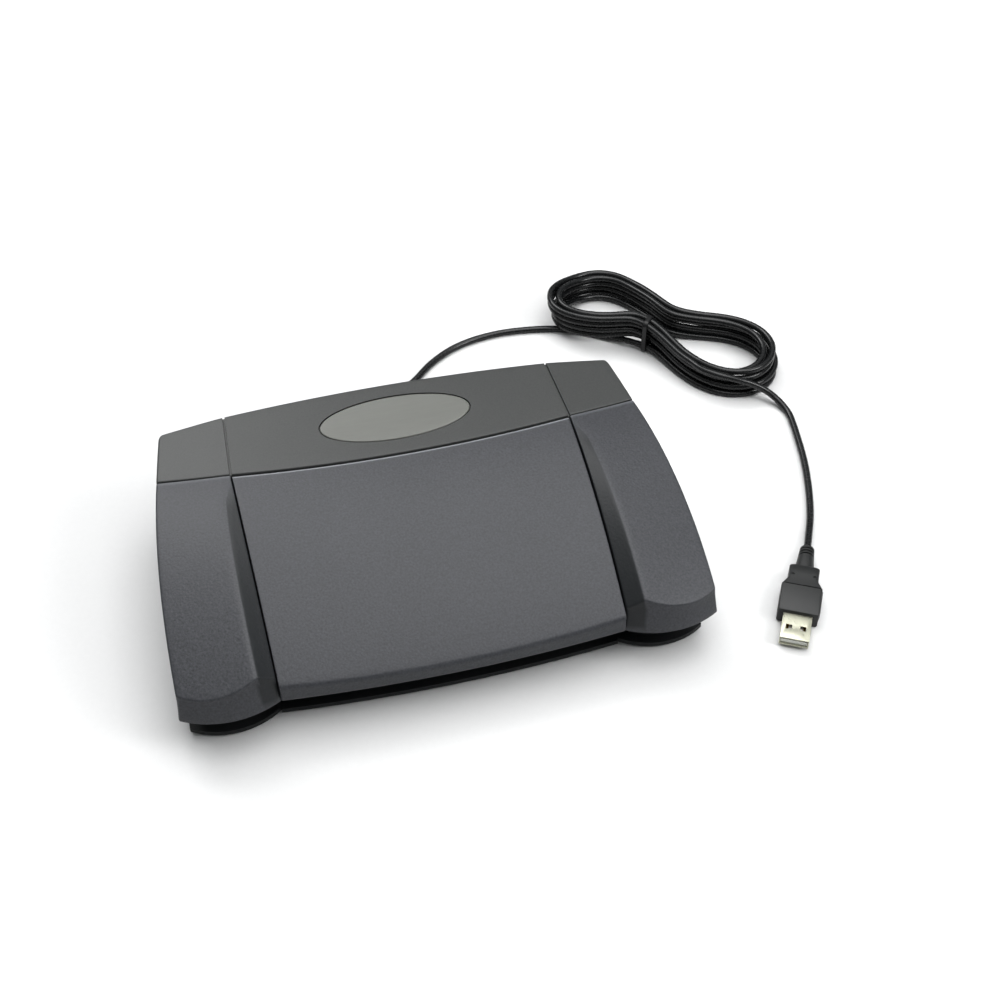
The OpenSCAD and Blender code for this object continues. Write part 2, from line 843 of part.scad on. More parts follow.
// Hank: a frame with its waist at the tie, its first axis along the hank
waist = [143.6, 127.3];
along = [0.755, -0.656];
across = [0.656, 0.755];
far_half = 16;
front_reach = 65;
rear_reach = 54;
front_bulges = [49, 41];
rear_bulges = [36, 40];
front_fill = 0.8;
rear_fill = 0.95;
waist_soft = 0.3;
far_shift = 0.15;
tie_t = 1;
tie_room = 0.9;
bulge_step = 1.5;
hank_rise = 3.9;
hank_end = hank_loops + 0.09;
layer_turns = hank_loops / hank_layers;

function loop_step(u) =
    let (k = floor(min(u, hank_loops - eps) / layer_turns), f = u - k * layer_turns)
    k % 2 == 0 ? f : layer_turns - f;
function loop_layer(u) = let (climbs = [for (k = [1 : hank_layers - 1])
    ease((u - k * layer_turns) / 0.5 + 0.5)]) climbs * [for (c = climbs) 1];
function hank_point(u) =
    let (s = sin(360 * u), c = cos(360 * u), n = loop_step(u),
        side = c > 0 ? 0 : 1,
        half = side == 0 ? waist_half : far_half,
        reach = (s > 0 ? front_reach : rear_reach) - n * hank_pitch,
        t = s + far_shift * min(0, c),
        bulge = (t > 0 ? front_bulges : rear_bulges)[side] - n * bulge_step,
        pull = t * t / (abs(t) + waist_soft),
        fill = s > 0 ? front_fill : rear_fill,
        a = reach * (fill * s + (1 - fill) * pow(s, 3)),
        b = -c * (half - n * hank_pitch + bulge * pull),
        lift = hank_rise * ease((u - 0.3) / 0.2) * ease(0.5 - (a + 2) / 16) * ease(0.5 - (b - 8) / 26),
        over_tie = (tie_t + tie_room / 2) * ease(1.2 - abs(a) / 20),
        xy = waist + a * along + b * across)
    [xy[0], xy[1], cord_r + hank_step * loop_layer(u) + lift + over_tie];
function hank_path(per_loop) = [for (i = [0 : hank_end * per_loop]) hank_point(i / per_loop)];

module cord_hank() {
    color("#1a1b1d") skin(tube(hank_path(24), cord_r, 6));
}

// Free stretches of the cord, as points chosen by hand
floor_c = cord_r;
lead_points = concat([[0, relief_end, cable_z], [0, relief_end + 5, cable_z - 0.3]],
    [[1, 100, 10.5], [4, 108, 6], [9, 115.5, 2.8], [16, 121.5, floor_c], [24, 127.5, floor_c],
    [33.5, 137, floor_c], [45.5, 145.3, floor_c], [58, 150, floor_c], [73, 152, floor_c],
    [88, 151, floor_c], [102, 148, floor_c], [114, 142.8, floor_c], [124.4, 135.8, 2],
    [132, 129.2, 2.9]], [hank_point(0)]);
plug_mid = grip_t / 2;
boot_start = [163.3, -26.8, plug_mid];
tail_points = concat([hank_point(hank_end)],
    [[156, 86.5, 13.6], [162.5, 80.8, 13.4], [170, 77.3, 12], [177.5, 75, 9.4], [183.5, 72.5, 6.2],
    [188, 67.9, 3.3], [190.3, 59.5, 1.8], [189.4, 50.5, floor_c], [187.7, 41, floor_c],
    [185.5, 30, floor_c], [182.5, 18.5, floor_c], [178.3, 5.5, floor_c], [173.6, -6.5, 1.8],
    [168.4, -17, 3]], [boot_start]);

module cord_lead() {
    color("#1a1b1d") skin(tube(smooth(lead_points, 2), cord_r, 8));
}

module cord_tail() {
    color("#1a1b1d") skin(tube(smooth(tail_points, 2), cord_r, 8));
}

// Tie: a band drawn round the near side of the waist
module tie_outline(grow) {
    corner = 2;
    width = layer_turns * hank_pitch + cord_d + 2 * tie_room;
    half = width / 2 - corner;
    top = hank_point(hank_loops)[2] + cord_r + tie_room;
    rise = top - tie_t - 2 * corner;
    translate([tie_t + corner, layer_turns * hank_pitch / 2 - waist_half]) {
        for (s = [-1, 1], h = [0, rise]) translate([h, s * half]) circle(r = corner + grow);
        translate([-corner - grow, -half]) square([rise + 2 * (corner + grow), 2 * half]);
        translate([0, -half - corner - grow]) square([rise, 2 * (half + corner + grow)]);
    }
}

module cable_tie() {
    tie_w = 2.4;
    color("#151617") translate([waist[0], waist[1], 0]) rotate([0, 0, atan2(along[1], along[0])])
        translate([tie_w / 2, 0, 0]) rotate([0, -90, 0]) linear_extrude(tie_w) difference() {
            tie_outline(tie_t);
            tie_outline(0);
        }
}

// Plug: its first axis runs from the boot to the tip of the metal shell
plug_dir = unit([-0.48, -0.88]);
boot_l = 13;
module plug_frame() {
    translate(boot_start) rotate([0, 0, atan2(plug_dir[1], plug_dir[0])])
        translate([boot_l, 0, 0]) children();
}

module plug_grip() {
    neck_w = grip_w * 0.72;
    neck_l = grip_l * 0.3;
    step_l = grip_l * 0.14;
    boot_r = 4;
    boot_ribs = 3;
    color("#3a3b3d") plug_frame() difference() {
        union() {
            translate([0, 0, -grip_t / 2]) linear_extrude(grip_t) polygon([[0, -neck_w / 2 + 1.5],
                [1.5, -neck_w / 2], [neck_l, -neck_w / 2], [neck_l + step_l, -grip_w / 2],
                [grip_l - 0.8, -grip_w / 2], [grip_l, 0.8 - grip_w / 2], [grip_l, grip_w / 2 - 0.8],
                [grip_l - 0.8, grip_w / 2], [neck_l + step_l, grip_w / 2], [neck_l, neck_w / 2],
                [1.5, neck_w / 2], [0, neck_w / 2 - 1.5]]);
            translate([-boot_l, 0, 0]) rotate([0, 90, 0]) rotate_extrude() union() {
                polygon([[0, 0], [cord_r + 1.2, 0], [boot_r - 0.6, boot_l], [boot_r - 0.6, boot_l + 1],
                    [0, boot_l + 1]]);
                for (i = [0 : boot_ribs - 1]) translate([0, 1 + i * 4]) square([boot_r - 0.6 + i * 0.2, 2]);
            }
        }
        translate([grip_l - 2, -shell_w / 2, -shell_t / 2]) cube([3, shell_w, shell_t]);
        for (s = [-1, 1]) translate([neck_l * 0.8, s * neck_w * 0.36, grip_t / 2 - 0.8])
            cylinder(d = 1.6, h = 2);
        translate([neck_l + step_l - 0.2, -grip_w, grip_t / 2 - 0.5]) cube([0.5, 2 * grip_w, 1]);
    }
}

module plug_shell() {
    hole = 2.4;
    hole_off = 2.9;
    color("#cfd1c6") plug_frame() translate([grip_l, 0, 0]) difference() {
        translate([-2, -shell_w / 2, -shell_t / 2]) cube([shell_l + 2, shell_w, shell_t]);
        translate([-3, sheet_t - shell_w / 2, sheet_t - shell_t / 2])
            cube([shell_l + 4, shell_w - 2 * sheet_t, shell_t - 2 * sheet_t]);
        for (s = [-1, 1]) translate([shell_l * 0.44, s * hole_off - hole / 2, -shell_t])
            cube([hole, hole, 2 * shell_t]);
    }
}

tongue_t = 1.9;
module plug_insert() {
    clear = sheet_t + 0.1;
    color("white") plug_frame() translate([grip_l - 2, clear - shell_w / 2, clear - shell_t / 2]) {
        cube([shell_l + 1, shell_w - 2 * clear, tongue_t]);
        cube([2.5, shell_w - 2 * clear, shell_t - 2 * clear]);
    }
}

module plug_contacts() {
    low = sheet_t + 0.1 - shell_t / 2 + tongue_t;
    color("gold") plug_frame() for (y = [-3.5, -1, 1, 3.5])
        translate([grip_l + 1.5, y - 0.5, low]) cube([shell_l - 5, 1, 0.2]);
}

base_tray();
rubber_feet();
weight_plate();
bump_stops();
pivot_rod();
rear_cover();
badge_plate();
cover_screws();
left_pedal();
centre_pedal();
right_pedal();
left_return_spring();
centre_return_springs();
right_return_spring();
circuit_board();
board_screws();
controller_chip();
cable_header();
left_switch();
centre_switch();
right_switch();
left_plunger();
centre_plunger();
right_plunger();
strain_relief();
inner_lead();
cord_lead();
cord_hank();
cord_tail();
cable_tie();
plug_grip();
plug_shell();
plug_insert();
plug_contacts();
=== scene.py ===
"""Looks of the three-pedal foot switch. Sizes are millimetres up to the mesh builders, which turn them into metres."""
import json
import math
import bmesh
import bpy
from mathutils import Matrix, Vector


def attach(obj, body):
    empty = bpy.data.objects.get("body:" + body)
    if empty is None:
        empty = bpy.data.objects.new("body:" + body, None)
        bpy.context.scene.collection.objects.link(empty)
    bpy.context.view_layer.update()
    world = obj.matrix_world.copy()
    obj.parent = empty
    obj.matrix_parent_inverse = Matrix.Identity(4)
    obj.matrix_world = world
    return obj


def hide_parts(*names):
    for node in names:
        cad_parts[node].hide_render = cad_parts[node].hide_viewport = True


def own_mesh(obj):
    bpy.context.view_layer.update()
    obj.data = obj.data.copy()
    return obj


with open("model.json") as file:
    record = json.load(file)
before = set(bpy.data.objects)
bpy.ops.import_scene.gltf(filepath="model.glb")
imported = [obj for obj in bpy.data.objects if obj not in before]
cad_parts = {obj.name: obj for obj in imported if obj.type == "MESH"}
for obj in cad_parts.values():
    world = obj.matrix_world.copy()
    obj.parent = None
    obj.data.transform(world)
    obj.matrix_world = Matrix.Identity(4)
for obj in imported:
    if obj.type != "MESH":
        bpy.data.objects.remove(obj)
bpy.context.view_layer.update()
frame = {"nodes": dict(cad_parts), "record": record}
nodes = frame["nodes"]
MM = 0.001


def placed(name, data):
    """A new object in the scene."""
    obj = bpy.data.objects.new(name, data)
    bpy.context.scene.collection.objects.link(obj)
    return obj


# Camera: its place and axes were solved from the photograph
CAMERA_PLACE = Vector((-75.8, -419.1, 478.7))
CAMERA_RIGHT, CAMERA_UP = Vector((0.9677, -0.2521, 0.0)), Vector((0.1792, 0.6878, 0.7034))
LENS, SENSOR, NEAREST = 54.0, 36.0, 0.01
camera = placed("camera", bpy.data.cameras.new("camera"))
turn = Matrix((CAMERA_RIGHT, CAMERA_UP, CAMERA_RIGHT.cross(CAMERA_UP))).transposed().to_4x4()
camera.matrix_world = Matrix.Translation(CAMERA_PLACE * MM) @ turn
camera.data.lens, camera.data.sensor_width, camera.data.clip_start = LENS, SENSOR, NEAREST
bpy.context.scene.camera = camera


# Materials
NOISE_LOW, NOISE_HIGH = 0.3, 0.7
ROUGH_SPAN, COAT_ROUGH = 0.06, 0.2


def srgb(r, g, b):
    return tuple((c / 255 / 12.92 if c < 10 else ((c / 255 + 0.055) / 1.055) ** 2.4) for c in (r, g, b)) + (1.0,)


def add(tree, kind, **values):
    node = tree.nodes.new(kind)
    for key, value in values.items():
        if key in node.inputs:
            node.inputs[key].default_value = value
        else:
            setattr(node, key, value)
    return node


def ramp(tree, source, low, high, start=NOISE_LOW, end=NOISE_HIGH):
    """A source's values between start and end, spread over low to high."""
    node = tree.nodes.new("ShaderNodeMapRange")
    for key, value in (("From Min", start), ("From Max", end), ("To Min", low), ("To Max", high)):
        node.inputs[key].default_value = value
    tree.links.new(source, node.inputs["Value"])
    return node.outputs["Result"]


def blend(tree, share, first, second):
    """A mix of two colours, each a fixed colour or another node's output."""
    mix = add(tree, "ShaderNodeMix", data_type="RGBA")
    tree.links.new(share, mix.inputs["Factor"])
    for socket in mix.inputs:
        if socket.type == "RGBA":
            colour = second if socket.identifier.startswith("B") else first
            if isinstance(colour, tuple):
                socket.default_value = colour
            else:
                tree.links.new(colour, socket)
    return [s for s in mix.outputs if s.type == "RGBA"][0]


def finish_of(name, dark, light, rough, grain=900.0, depth=0.0, pits=0.0, cloud=60.0, stretch=(1, 1, 1), metal=0.0,
        coat=0.0, specular=0.5, blotch=0.3, mottle=0.2, tones=()):
    """A moulded, drawn or plated finish: cloudy colour, uneven roughness and a grain of its own size.
    tones are the colours of the zones that a mesh marks with an attribute of that name."""
    mat = bpy.data.materials.new(name)
    mat.use_nodes = True
    tree = mat.node_tree
    shader = tree.nodes["Principled BSDF"]
    place = add(tree, "ShaderNodeTexCoord").outputs["Object"]
    if stretch != (1, 1, 1):
        mapping = add(tree, "ShaderNodeMapping", Scale=stretch)
        tree.links.new(place, mapping.inputs["Vector"])
        place = mapping.outputs["Vector"]
    clouds = add(tree, "ShaderNodeTexNoise", Scale=cloud, Detail=4.0, Roughness=0.55)
    fine = add(tree, "ShaderNodeTexNoise", Scale=grain, Detail=3.0, Roughness=0.6)
    for node in (clouds, fine):
        tree.links.new(place, node.inputs["Vector"])
    share = add(tree, "ShaderNodeMath", operation="ADD", use_clamp=True)
    tree.links.new(ramp(tree, clouds.outputs["Fac"], 0.5 - blotch, 0.5 + blotch), share.inputs[0])
    tree.links.new(ramp(tree, fine.outputs["Fac"], -mottle, mottle), share.inputs[1])
    colour = blend(tree, share.outputs["Value"], dark, light)
    for zone, tone in tones:
        marked = add(tree, "ShaderNodeAttribute", attribute_name=zone)
        colour = blend(tree, marked.outputs["Fac"], colour, tone)
    tree.links.new(colour, shader.inputs["Base Color"])
    uneven = ramp(tree, fine.outputs["Fac"], rough - ROUGH_SPAN, rough + ROUGH_SPAN)
    tree.links.new(uneven, shader.inputs["Roughness"])
    shader.inputs["Metallic"].default_value = metal
    shader.inputs["Coat Weight"].default_value = coat
    shader.inputs["Coat Roughness"].default_value = COAT_ROUGH
    shader.inputs["Specular IOR Level"].default_value = specular
    height = fine.outputs["Fac"]
    if pits:
        cells = add(tree, "ShaderNodeTexVoronoi", Scale=pits, feature="SMOOTH_F1")
        tree.links.new(place, cells.inputs["Vector"])
        total = add(tree, "ShaderNodeMath", operation="ADD")
        tree.links.new(cells.outputs["Distance"], total.inputs[0])
        tree.links.new(fine.outputs["Fac"], total.inputs[1])
        height = total.outputs["Value"]
    if depth:
        bump = add(tree, "ShaderNodeBump", Strength=1.0, Distance=depth * MM)
        tree.links.new(height, bump.inputs["Height"])
        tree.links.new(bump.outputs["Normal"], shader.inputs["Normal"])
    return mat


finishes = {
    # Pedal tones: band is painted shade, a darker colour on the side pedals' inner slopes; rim is a painted highlight,
    # a lighter colour on the pedals' rear rounding.
    "pedal_plastic": finish_of("pedal_grain", srgb(50, 51, 54), srgb(69, 70, 74), 0.44, 1150, 0.055, 900, 30,
        specular=0.4, blotch=0.05, mottle=0.45, tones=(("band", srgb(33, 35, 37)), ("rim", srgb(126, 128, 132)))),
    "cover_plastic": finish_of("cover_satin", srgb(55, 56, 56), srgb(66, 67, 66), 0.4, 1500, 0.025, 0, 30,
        specular=0.38, blotch=0.08, mottle=0.4),
    "base_plastic": finish_of("base_black", srgb(26, 28, 29), srgb(33, 35, 36), 0.5, 1500, 0.02, specular=0.3),
    "foot_rubber": finish_of("foot_rubber", srgb(20, 20, 20), srgb(30, 30, 29), 0.75, 900, 0.04, 700),
    "ballast_steel": finish_of("ballast_zinc", srgb(98, 104, 110), srgb(126, 130, 134), 0.42, 700, 0.01, metal=0.9),
    "rod_steel": finish_of("rod_ground", srgb(170, 170, 168), srgb(196, 196, 194), 0.24, 2200, 0.004,
        stretch=(0.05, 1, 1), metal=1.0),
    "spring_steel": finish_of("spring_wire", srgb(140, 140, 138), srgb(172, 172, 170), 0.3, 1800, 0.004, metal=1.0),
    "screw_steel": finish_of("screw_zinc", srgb(92, 92, 92), srgb(122, 122, 120), 0.38, 1500, 0.006, metal=1.0),
    "badge_metal": finish_of("badge_satin", srgb(97, 98, 94), srgb(105, 106, 102), 0.42, 1400, 0.006, 0, 80,
        stretch=(0.08, 1, 1), specular=0.4),
    "board_laminate": finish_of("board_resist", srgb(10, 66, 38), srgb(18, 86, 50), 0.35, 800, 0.01, coat=0.3),
    "chip_epoxy": finish_of("chip_epoxy", srgb(26, 26, 28), srgb(36, 36, 38), 0.55, 1800, 0.01),
    "header_plastic": finish_of("header_nylon", srgb(214, 206, 184), srgb(226, 219, 198), 0.45, 1200, 0.01),
    "switch_plastic": finish_of("switch_nylon", srgb(38, 40, 43), srgb(48, 50, 53), 0.45, 1400, 0.01),
    "plunger_plastic": finish_of("plunger_acetal", srgb(150, 52, 44), srgb(166, 62, 52), 0.3, 1200, 0.005),
    "boot_rubber": finish_of("boot_rubber", srgb(27, 28, 29), srgb(36, 37, 38), 0.5, 1200, 0.02),
    "cord_jacket": finish_of("cord_jacket", srgb(15, 16, 17), srgb(21, 22, 23), 0.27, 1300, 0.012, 0, 120,
        specular=0.5),
    "tie_plastic": finish_of("tie_coat", srgb(10, 10, 11), srgb(16, 16, 17), 0.4, 1500, 0.01),
    "plug_plastic": finish_of("plug_soft", srgb(33, 34, 34), srgb(40, 41, 41), 0.45, 1300, 0.02, 0, 90),
    "plug_metal": finish_of("plug_nickel", srgb(176, 176, 160), srgb(194, 194, 178), 0.32, 1600, 0.004,
        stretch=(1, 0.15, 1), metal=0.75),
    "insert_plastic": finish_of("insert_white", srgb(218, 218, 212), srgb(230, 230, 224), 0.35, 1200, 0.005),
    "contact_plate": finish_of("contact_gold", srgb(206, 168, 84), srgb(222, 186, 104), 0.25, 1500, 0.003, metal=1.0),
}
slot_of = {s["node"]: s["material_slot"] for s in frame["record"]["subparts"]}
for node_name, obj in nodes.items():
    obj.data.materials.clear()
    obj.data.materials.append(finishes[slot_of[node_name]])


# Mesh builders. Edges that turn by more than these angles, in degrees, aren't smoothed over
CREASE, ROUND_CREASE, SOFT_CREASE, INSIDE_CREASE = 35.0, 60.0, 50.0, 30.0


def piece(name, verts, faces, slot, body="base", stands_for=(), sharp=CREASE):
    """A piece from vertices in millimetres."""
    mesh = bpy.data.meshes.new(name)
    mesh.from_pydata([tuple(c * MM for c in v) for v in verts], [], faces)
    return dress(placed(name, mesh), slot, body, stands_for, sharp)


def dress(obj, slot, body, stands_for=(), sharp=CREASE):
    """Gives a piece its finish, the body it rides on and the nodes that it stands for."""
    obj.data.materials.clear()
    obj.data.materials.append(finishes[slot])
    if obj.type == "MESH":
        obj.data.validate()
        obj.data.shade_smooth()
        obj.data.set_sharp_from_angle(angle=math.radians(sharp))
    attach(obj, body)
    if stands_for:
        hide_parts(*stands_for)
    return obj


def mark(obj, zone, values):
    """Marks a zone of a piece, vertex by vertex, for its finish."""
    obj.data.attributes.new(zone, "FLOAT", "POINT").data.foreach_set("value", values)


def rings_to_faces(count, around):
    """Faces of a tube of rings with a cap at each end."""
    faces = []
    for i in range(count - 1):
        for j in range(around):
            a, b = i * around + j, i * around + (j + 1) % around
            faces.append((a, b, b + around, a + around))
    return faces + [tuple(reversed(range(around))), tuple(range((count - 1) * around, count * around))]


def tube_rings(path, radius, sides):
    """Rings along a path that turn with it and don't twist."""
    points = [Vector(p) for p in path]
    ahead = [(points[min(i + 1, len(points) - 1)] - points[max(i - 1, 0)]).normalized() for i in range(len(points))]
    side = ahead[0].orthogonal().normalized()
    verts = []
    for i, p in enumerate(points):
        side = (side - ahead[i] * side.dot(ahead[i])).normalized()
        other = ahead[i].cross(side)
        for k in range(sides):
            a = 2 * math.pi * k / sides
            verts.append(tuple(p + radius * (math.cos(a) * side + math.sin(a) * other)))
    return verts


# The cord's route, as in the part's source
CORD_R = 1.6
WAIST, ALONG, ACROSS = (143.6, 127.3), (0.755, -0.656), (0.656, 0.755)
LOOPS, LAYERS, STEP, PITCH, HANK_END = 7, 4, 3.9, 4.2, 7.09
TURNS = LOOPS / LAYERS
FRONT_REACH, REAR_REACH = 65, 54
FRONT_BULGES, REAR_BULGES, BULGE_STEP = (49, 41), (36, 40), 1.5
FRONT_FILL, REAR_FILL = 0.8, 0.95
WAIST_HALVES, WAIST_SOFT, SKEW = (6.2, 16), 0.3, 0.15
CHANGE = 0.5
HANK_RISE, RISE_START, RISE_TURN = 3.9, 0.3, 0.2
RISE_ALONG, ALONG_RUN, RISE_ACROSS, ACROSS_RUN = -2, 16, 8, 26
WAIST_RISE, WAIST_RUN, WAIST_FULL = 1.45, 20, 1.2


def ease(t):
    t = min(max(t, 0.0), 1.0)
    return t * t * (3 - 2 * t)


def at_waist(a, b, z):
    """A point that is given along and across the hank, from its waist."""
    return (WAIST[0] + a * ALONG[0] + b * ACROSS[0], WAIST[1] + a * ALONG[1] + b * ACROSS[1], z)


def hank_point(u):
    """The cord's middle after u loops: layers wound inwards and outwards in turn, each above the last."""
    s, c = math.sin(2 * math.pi * u), math.cos(2 * math.pi * u)
    k = int(min(u, LOOPS - 0.01) // TURNS)
    f = u - k * TURNS
    n = f if k % 2 == 0 else TURNS - f
    layer = sum(ease((u - j * TURNS) / CHANGE + 0.5) for j in range(1, LAYERS))
    side = 0 if c > 0 else 1
    reach = (FRONT_REACH if s > 0 else REAR_REACH) - n * PITCH
    t = s + SKEW * min(0, c)
    bulge = (FRONT_BULGES if t > 0 else REAR_BULGES)[side] - n * BULGE_STEP
    fill = FRONT_FILL if s > 0 else REAR_FILL
    a = reach * (fill * s + (1 - fill) * s ** 3)
    b = -c * (WAIST_HALVES[side] - n * PITCH + bulge * t * t / (abs(t) + WAIST_SOFT))
    lift = (HANK_RISE * ease((u - RISE_START) / RISE_TURN) * ease(0.5 - (a - RISE_ALONG) / ALONG_RUN)
        * ease(0.5 - (b - RISE_ACROSS) / ACROSS_RUN))
    z = CORD_R + STEP * layer + lift + WAIST_RISE * ease(WAIST_FULL - abs(a) / WAIST_RUN)
    return at_waist(a, b, z)


def smooth(points, steps=6):
    """A curve through the points."""
    p = [Vector(q) for q in points]
    m = len(p) - 1
    out = []
    for i in range(m):
        a, b, c, d = p[max(i - 1, 0)], p[i], p[i + 1], p[min(i + 2, m)]
        for k in range(steps):
            t = k / steps
            out.append(0.5 * (2 * b + (c - a) * t + (2 * a - 5 * b + 4 * c - d) * t * t
                + (3 * b - a - 3 * c + d) * t ** 3))
    return [tuple(v) for v in out + [p[m]]]


# F is the height of a strand that lies on the floor
F = CORD_R
BOOT_START = (163.3, -26.8, 4.0)
LOOP_STEPS, CORD_BEVEL = 120, 4
lead = smooth([(0, 85.5, 14.2), (0, 90.5, 13.9), (1, 100, 10.5), (4, 108, 6), (9, 115.5, 2.8), (16, 121.5, F),
    (24, 127.5, F), (33.5, 137, F), (45.5, 145.3, F), (58, 150, F), (73, 152, F), (88, 151, F), (102, 148, F),
    (114, 142.8, F), (124.4, 135.8, 2), (132, 129.2, 2.9), hank_point(0)])
hank = [hank_point(i / LOOP_STEPS) for i in range(int(HANK_END * LOOP_STEPS) + 1)]
tail = smooth([hank_point(HANK_END), (156, 86.5, 13.6), (162.5, 80.8, 13.4), (170, 77.3, 12), (177.5, 75, 9.4),
    (183.5, 72.5, 6.2), (188, 67.9, 3.3), (190.3, 59.5, 1.8), (189.4, 50.5, F), (187.7, 41, F), (185.5, 30, F),
    (182.5, 18.5, F), (178.3, 5.5, F), (173.6, -6.5, 1.8), (168.4, -17, 3), BOOT_START])
route = lead[:-1] + hank[:-1] + tail
curve = bpy.data.curves.new("cord", "CURVE")
curve.dimensions = "3D"
curve.bevel_depth, curve.bevel_resolution, curve.use_fill_caps = CORD_R * MM, CORD_BEVEL, True
spline = curve.splines.new("POLY")
spline.points.add(len(route) - 1)
for point, place in zip(spline.points, route):
    point.co = (place[0] * MM, place[1] * MM, place[2] * MM, 1.0)
spline.use_smooth = True
cord = dress(placed("cord", curve), "cord_jacket", "base", ("cord_lead", "cord_hank", "cord_tail"))


# Tie: a band drawn tight round the near side of the waist
TIE_W, TIE_T, TIE_STEPS = 2.4, 0.9, 96
TIE_GAP, TIE_CUT, TIE_SIDE, STRAND_STEPS = 0.03, 0.25, 5, 48


def hull(points):
    """The convex outline of flat points, counter-clockwise."""
    chains = []
    for ordered in (sorted(set(points)), sorted(set(points), reverse=True)):
        chain = []
        for q in ordered:
            while len(chain) > 1 and ((chain[-1][0] - chain[-2][0]) * (q[1] - chain[-2][1])
                    <= (chain[-1][1] - chain[-2][1]) * (q[0] - chain[-2][0])):
                chain.pop()
            chain.append(q)
        chains += chain[:-1]
    return chains


strands = []
turns = [2 * math.pi * i / STRAND_STEPS for i in range(STRAND_STEPS)]
for x, y, z in hank:
    a = (x - WAIST[0]) * ALONG[0] + (y - WAIST[1]) * ALONG[1]
    b = (x - WAIST[0]) * ACROSS[0] + (y - WAIST[1]) * ACROSS[1]
    if abs(a) < TIE_W and b < TIE_SIDE:
        strands += [(b + CORD_R * math.cos(w), z + CORD_R * math.sin(w)) for w in turns]
outline = [Vector(q) for q in hull(strands)]
lengths = [(outline[(i + 1) % len(outline)] - q).length for i, q in enumerate(outline)]
around, i, run = [], 0, 0.0
for k in range(TIE_STEPS):
    goal = sum(lengths) * k / TIE_STEPS
    while run + lengths[i] < goal:
        run += lengths[i]
        i += 1
    around.append(outline[i].lerp(outline[(i + 1) % len(outline)], (goal - run) / lengths[i]))
half = TIE_W / 2
profile = [(-half, TIE_GAP), (half, TIE_GAP), (half, TIE_T - TIE_CUT), (half - TIE_CUT, TIE_T), (TIE_CUT - half, TIE_T),
    (-half, TIE_T - TIE_CUT)]
verts = []
for k, q in enumerate(around):
    run_way = (around[(k + 1) % TIE_STEPS] - around[k - 1]).normalized()
    verts += [at_waist(a, q.x + run_way.y * out, q.y - run_way.x * out) for a, out in profile]
n = len(profile)
faces = [(n * k + j, n * k + (j + 1) % n, n * ((k + 1) % TIE_STEPS) + (j + 1) % n, n * ((k + 1) % TIE_STEPS) + j)
    for k in range(TIE_STEPS) for j in range(n)]
tie = piece("tie_band", verts, faces, "tie_plastic", "base", ("cable_tie",))


# Outlines and heights of the body, as in the part's source
BODY_W, BODY_D, WALL, GAP = 213.8, 135.0, 2.4, 0.8
SKIN_GAP = 0.5
FRONT, REAR, HALF = -BODY_D / 2, BODY_D / 2, BODY_W / 2
SIDE_R, WIDEST = 650.0, FRONT + 21
CROSS, CROSS_R, REAR_R = REAR - 40.5, 600.0, 800.0
SEAM_FRONT, SEAM_MID, SEAM_REAR = 69.0, 71.8, 70.2
JUNCTION = CROSS + SEAM_MID ** 2 / (2 * CROSS_R)
LOW, FLOOR = 18.9, 3.7
CENTRE_TOP, CENTRE_LOW, CENTRE_CREST, CENTRE_FRONT, CENTRE_BOW = 51.7, 24.9, REAR - 30, FRONT + 1.9, 700.0
SIDE_TOP, SIDE_LOW, SIDE_CREST = 52.3, 32.0, REAR - 42
FALL, TURN = math.radians(3), math.radians(14)
NOSE_X, NOSE_R, NOSE_Y, TAPER = 88.0, 38.0, FRONT + 38, math.tan(math.radians(16))
SLOPE_W, SLOPE_REAR_W, SLOPE_BLEND, LEAST_SLOPE = 7.2, 2.6, 0.7, 0.12
RISE = math.radians(4)
CORNER_SHARE = 0.6


def arch_r(run, drop):
    """The radius of an arch that falls by drop over run from its crest."""
    return (run * run + drop * drop) / (2 * drop)


CENTRE_R = arch_r(CENTRE_CREST - CENTRE_FRONT, CENTRE_TOP - CENTRE_LOW)
SIDE_RUN = SIDE_CREST - FRONT
SIDE_ARCH = arch_r(SIDE_RUN * math.cos(TURN),
    (SIDE_TOP - SIDE_LOW + SIDE_RUN * math.sin(TURN) * math.tan(FALL)) * math.cos(FALL))


def side_x(y):
    return HALF - SIDE_R + math.sqrt(SIDE_R ** 2 - (y - WIDEST) ** 2)


def seam_half(y):
    return SEAM_MID - (JUNCTION - y) * (SEAM_MID - SEAM_FRONT) / (JUNCTION - CENTRE_FRONT)


def panel_half(y):
    return SEAM_MID - (y - JUNCTION) * (SEAM_MID - SEAM_REAR) / (REAR - JUNCTION)


def rear_line(x):
    return REAR - REAR_R + math.sqrt(REAR_R ** 2 - x * x)


def front_line(x):
    return CENTRE_FRONT + CENTRE_BOW - math.sqrt(CENTRE_BOW ** 2 - x * x)


def corner_in(radius, past):
    """How far a round corner draws a side in, this far past the corner's start."""
    return (radius - math.sqrt(radius ** 2 - min(past, radius) ** 2)) * CORNER_SHARE if past > 0 else 0.0


def cross_line(x, grow=0.0):
    """The seam between the pedals and the cover, and grow in front of it."""
    return CROSS + CROSS_R - math.sqrt((CROSS_R + grow) ** 2 - x * x)


def centre_z(y):
    return CENTRE_TOP - CENTRE_R + math.sqrt(CENTRE_R ** 2 - (y - CENTRE_CREST) ** 2)


def side_z(x, y):
    out = (x - SEAM_MID) * math.cos(TURN) + (y - SIDE_CREST) * math.sin(TURN)
    back = (y - SIDE_CREST) * math.cos(TURN) - (x - SEAM_MID) * math.sin(TURN)
    arch = SIDE_ARCH - math.sqrt(SIDE_ARCH ** 2 - back ** 2)
    return SIDE_TOP - out * math.tan(FALL) - arch / math.cos(FALL)


def soft_min(a, b, k):
    """The lesser of two heights, blended where they are within k of each other."""
    h = max(k - abs(a - b), 0.0) / k
    return min(a, b) - h * h * k / 4


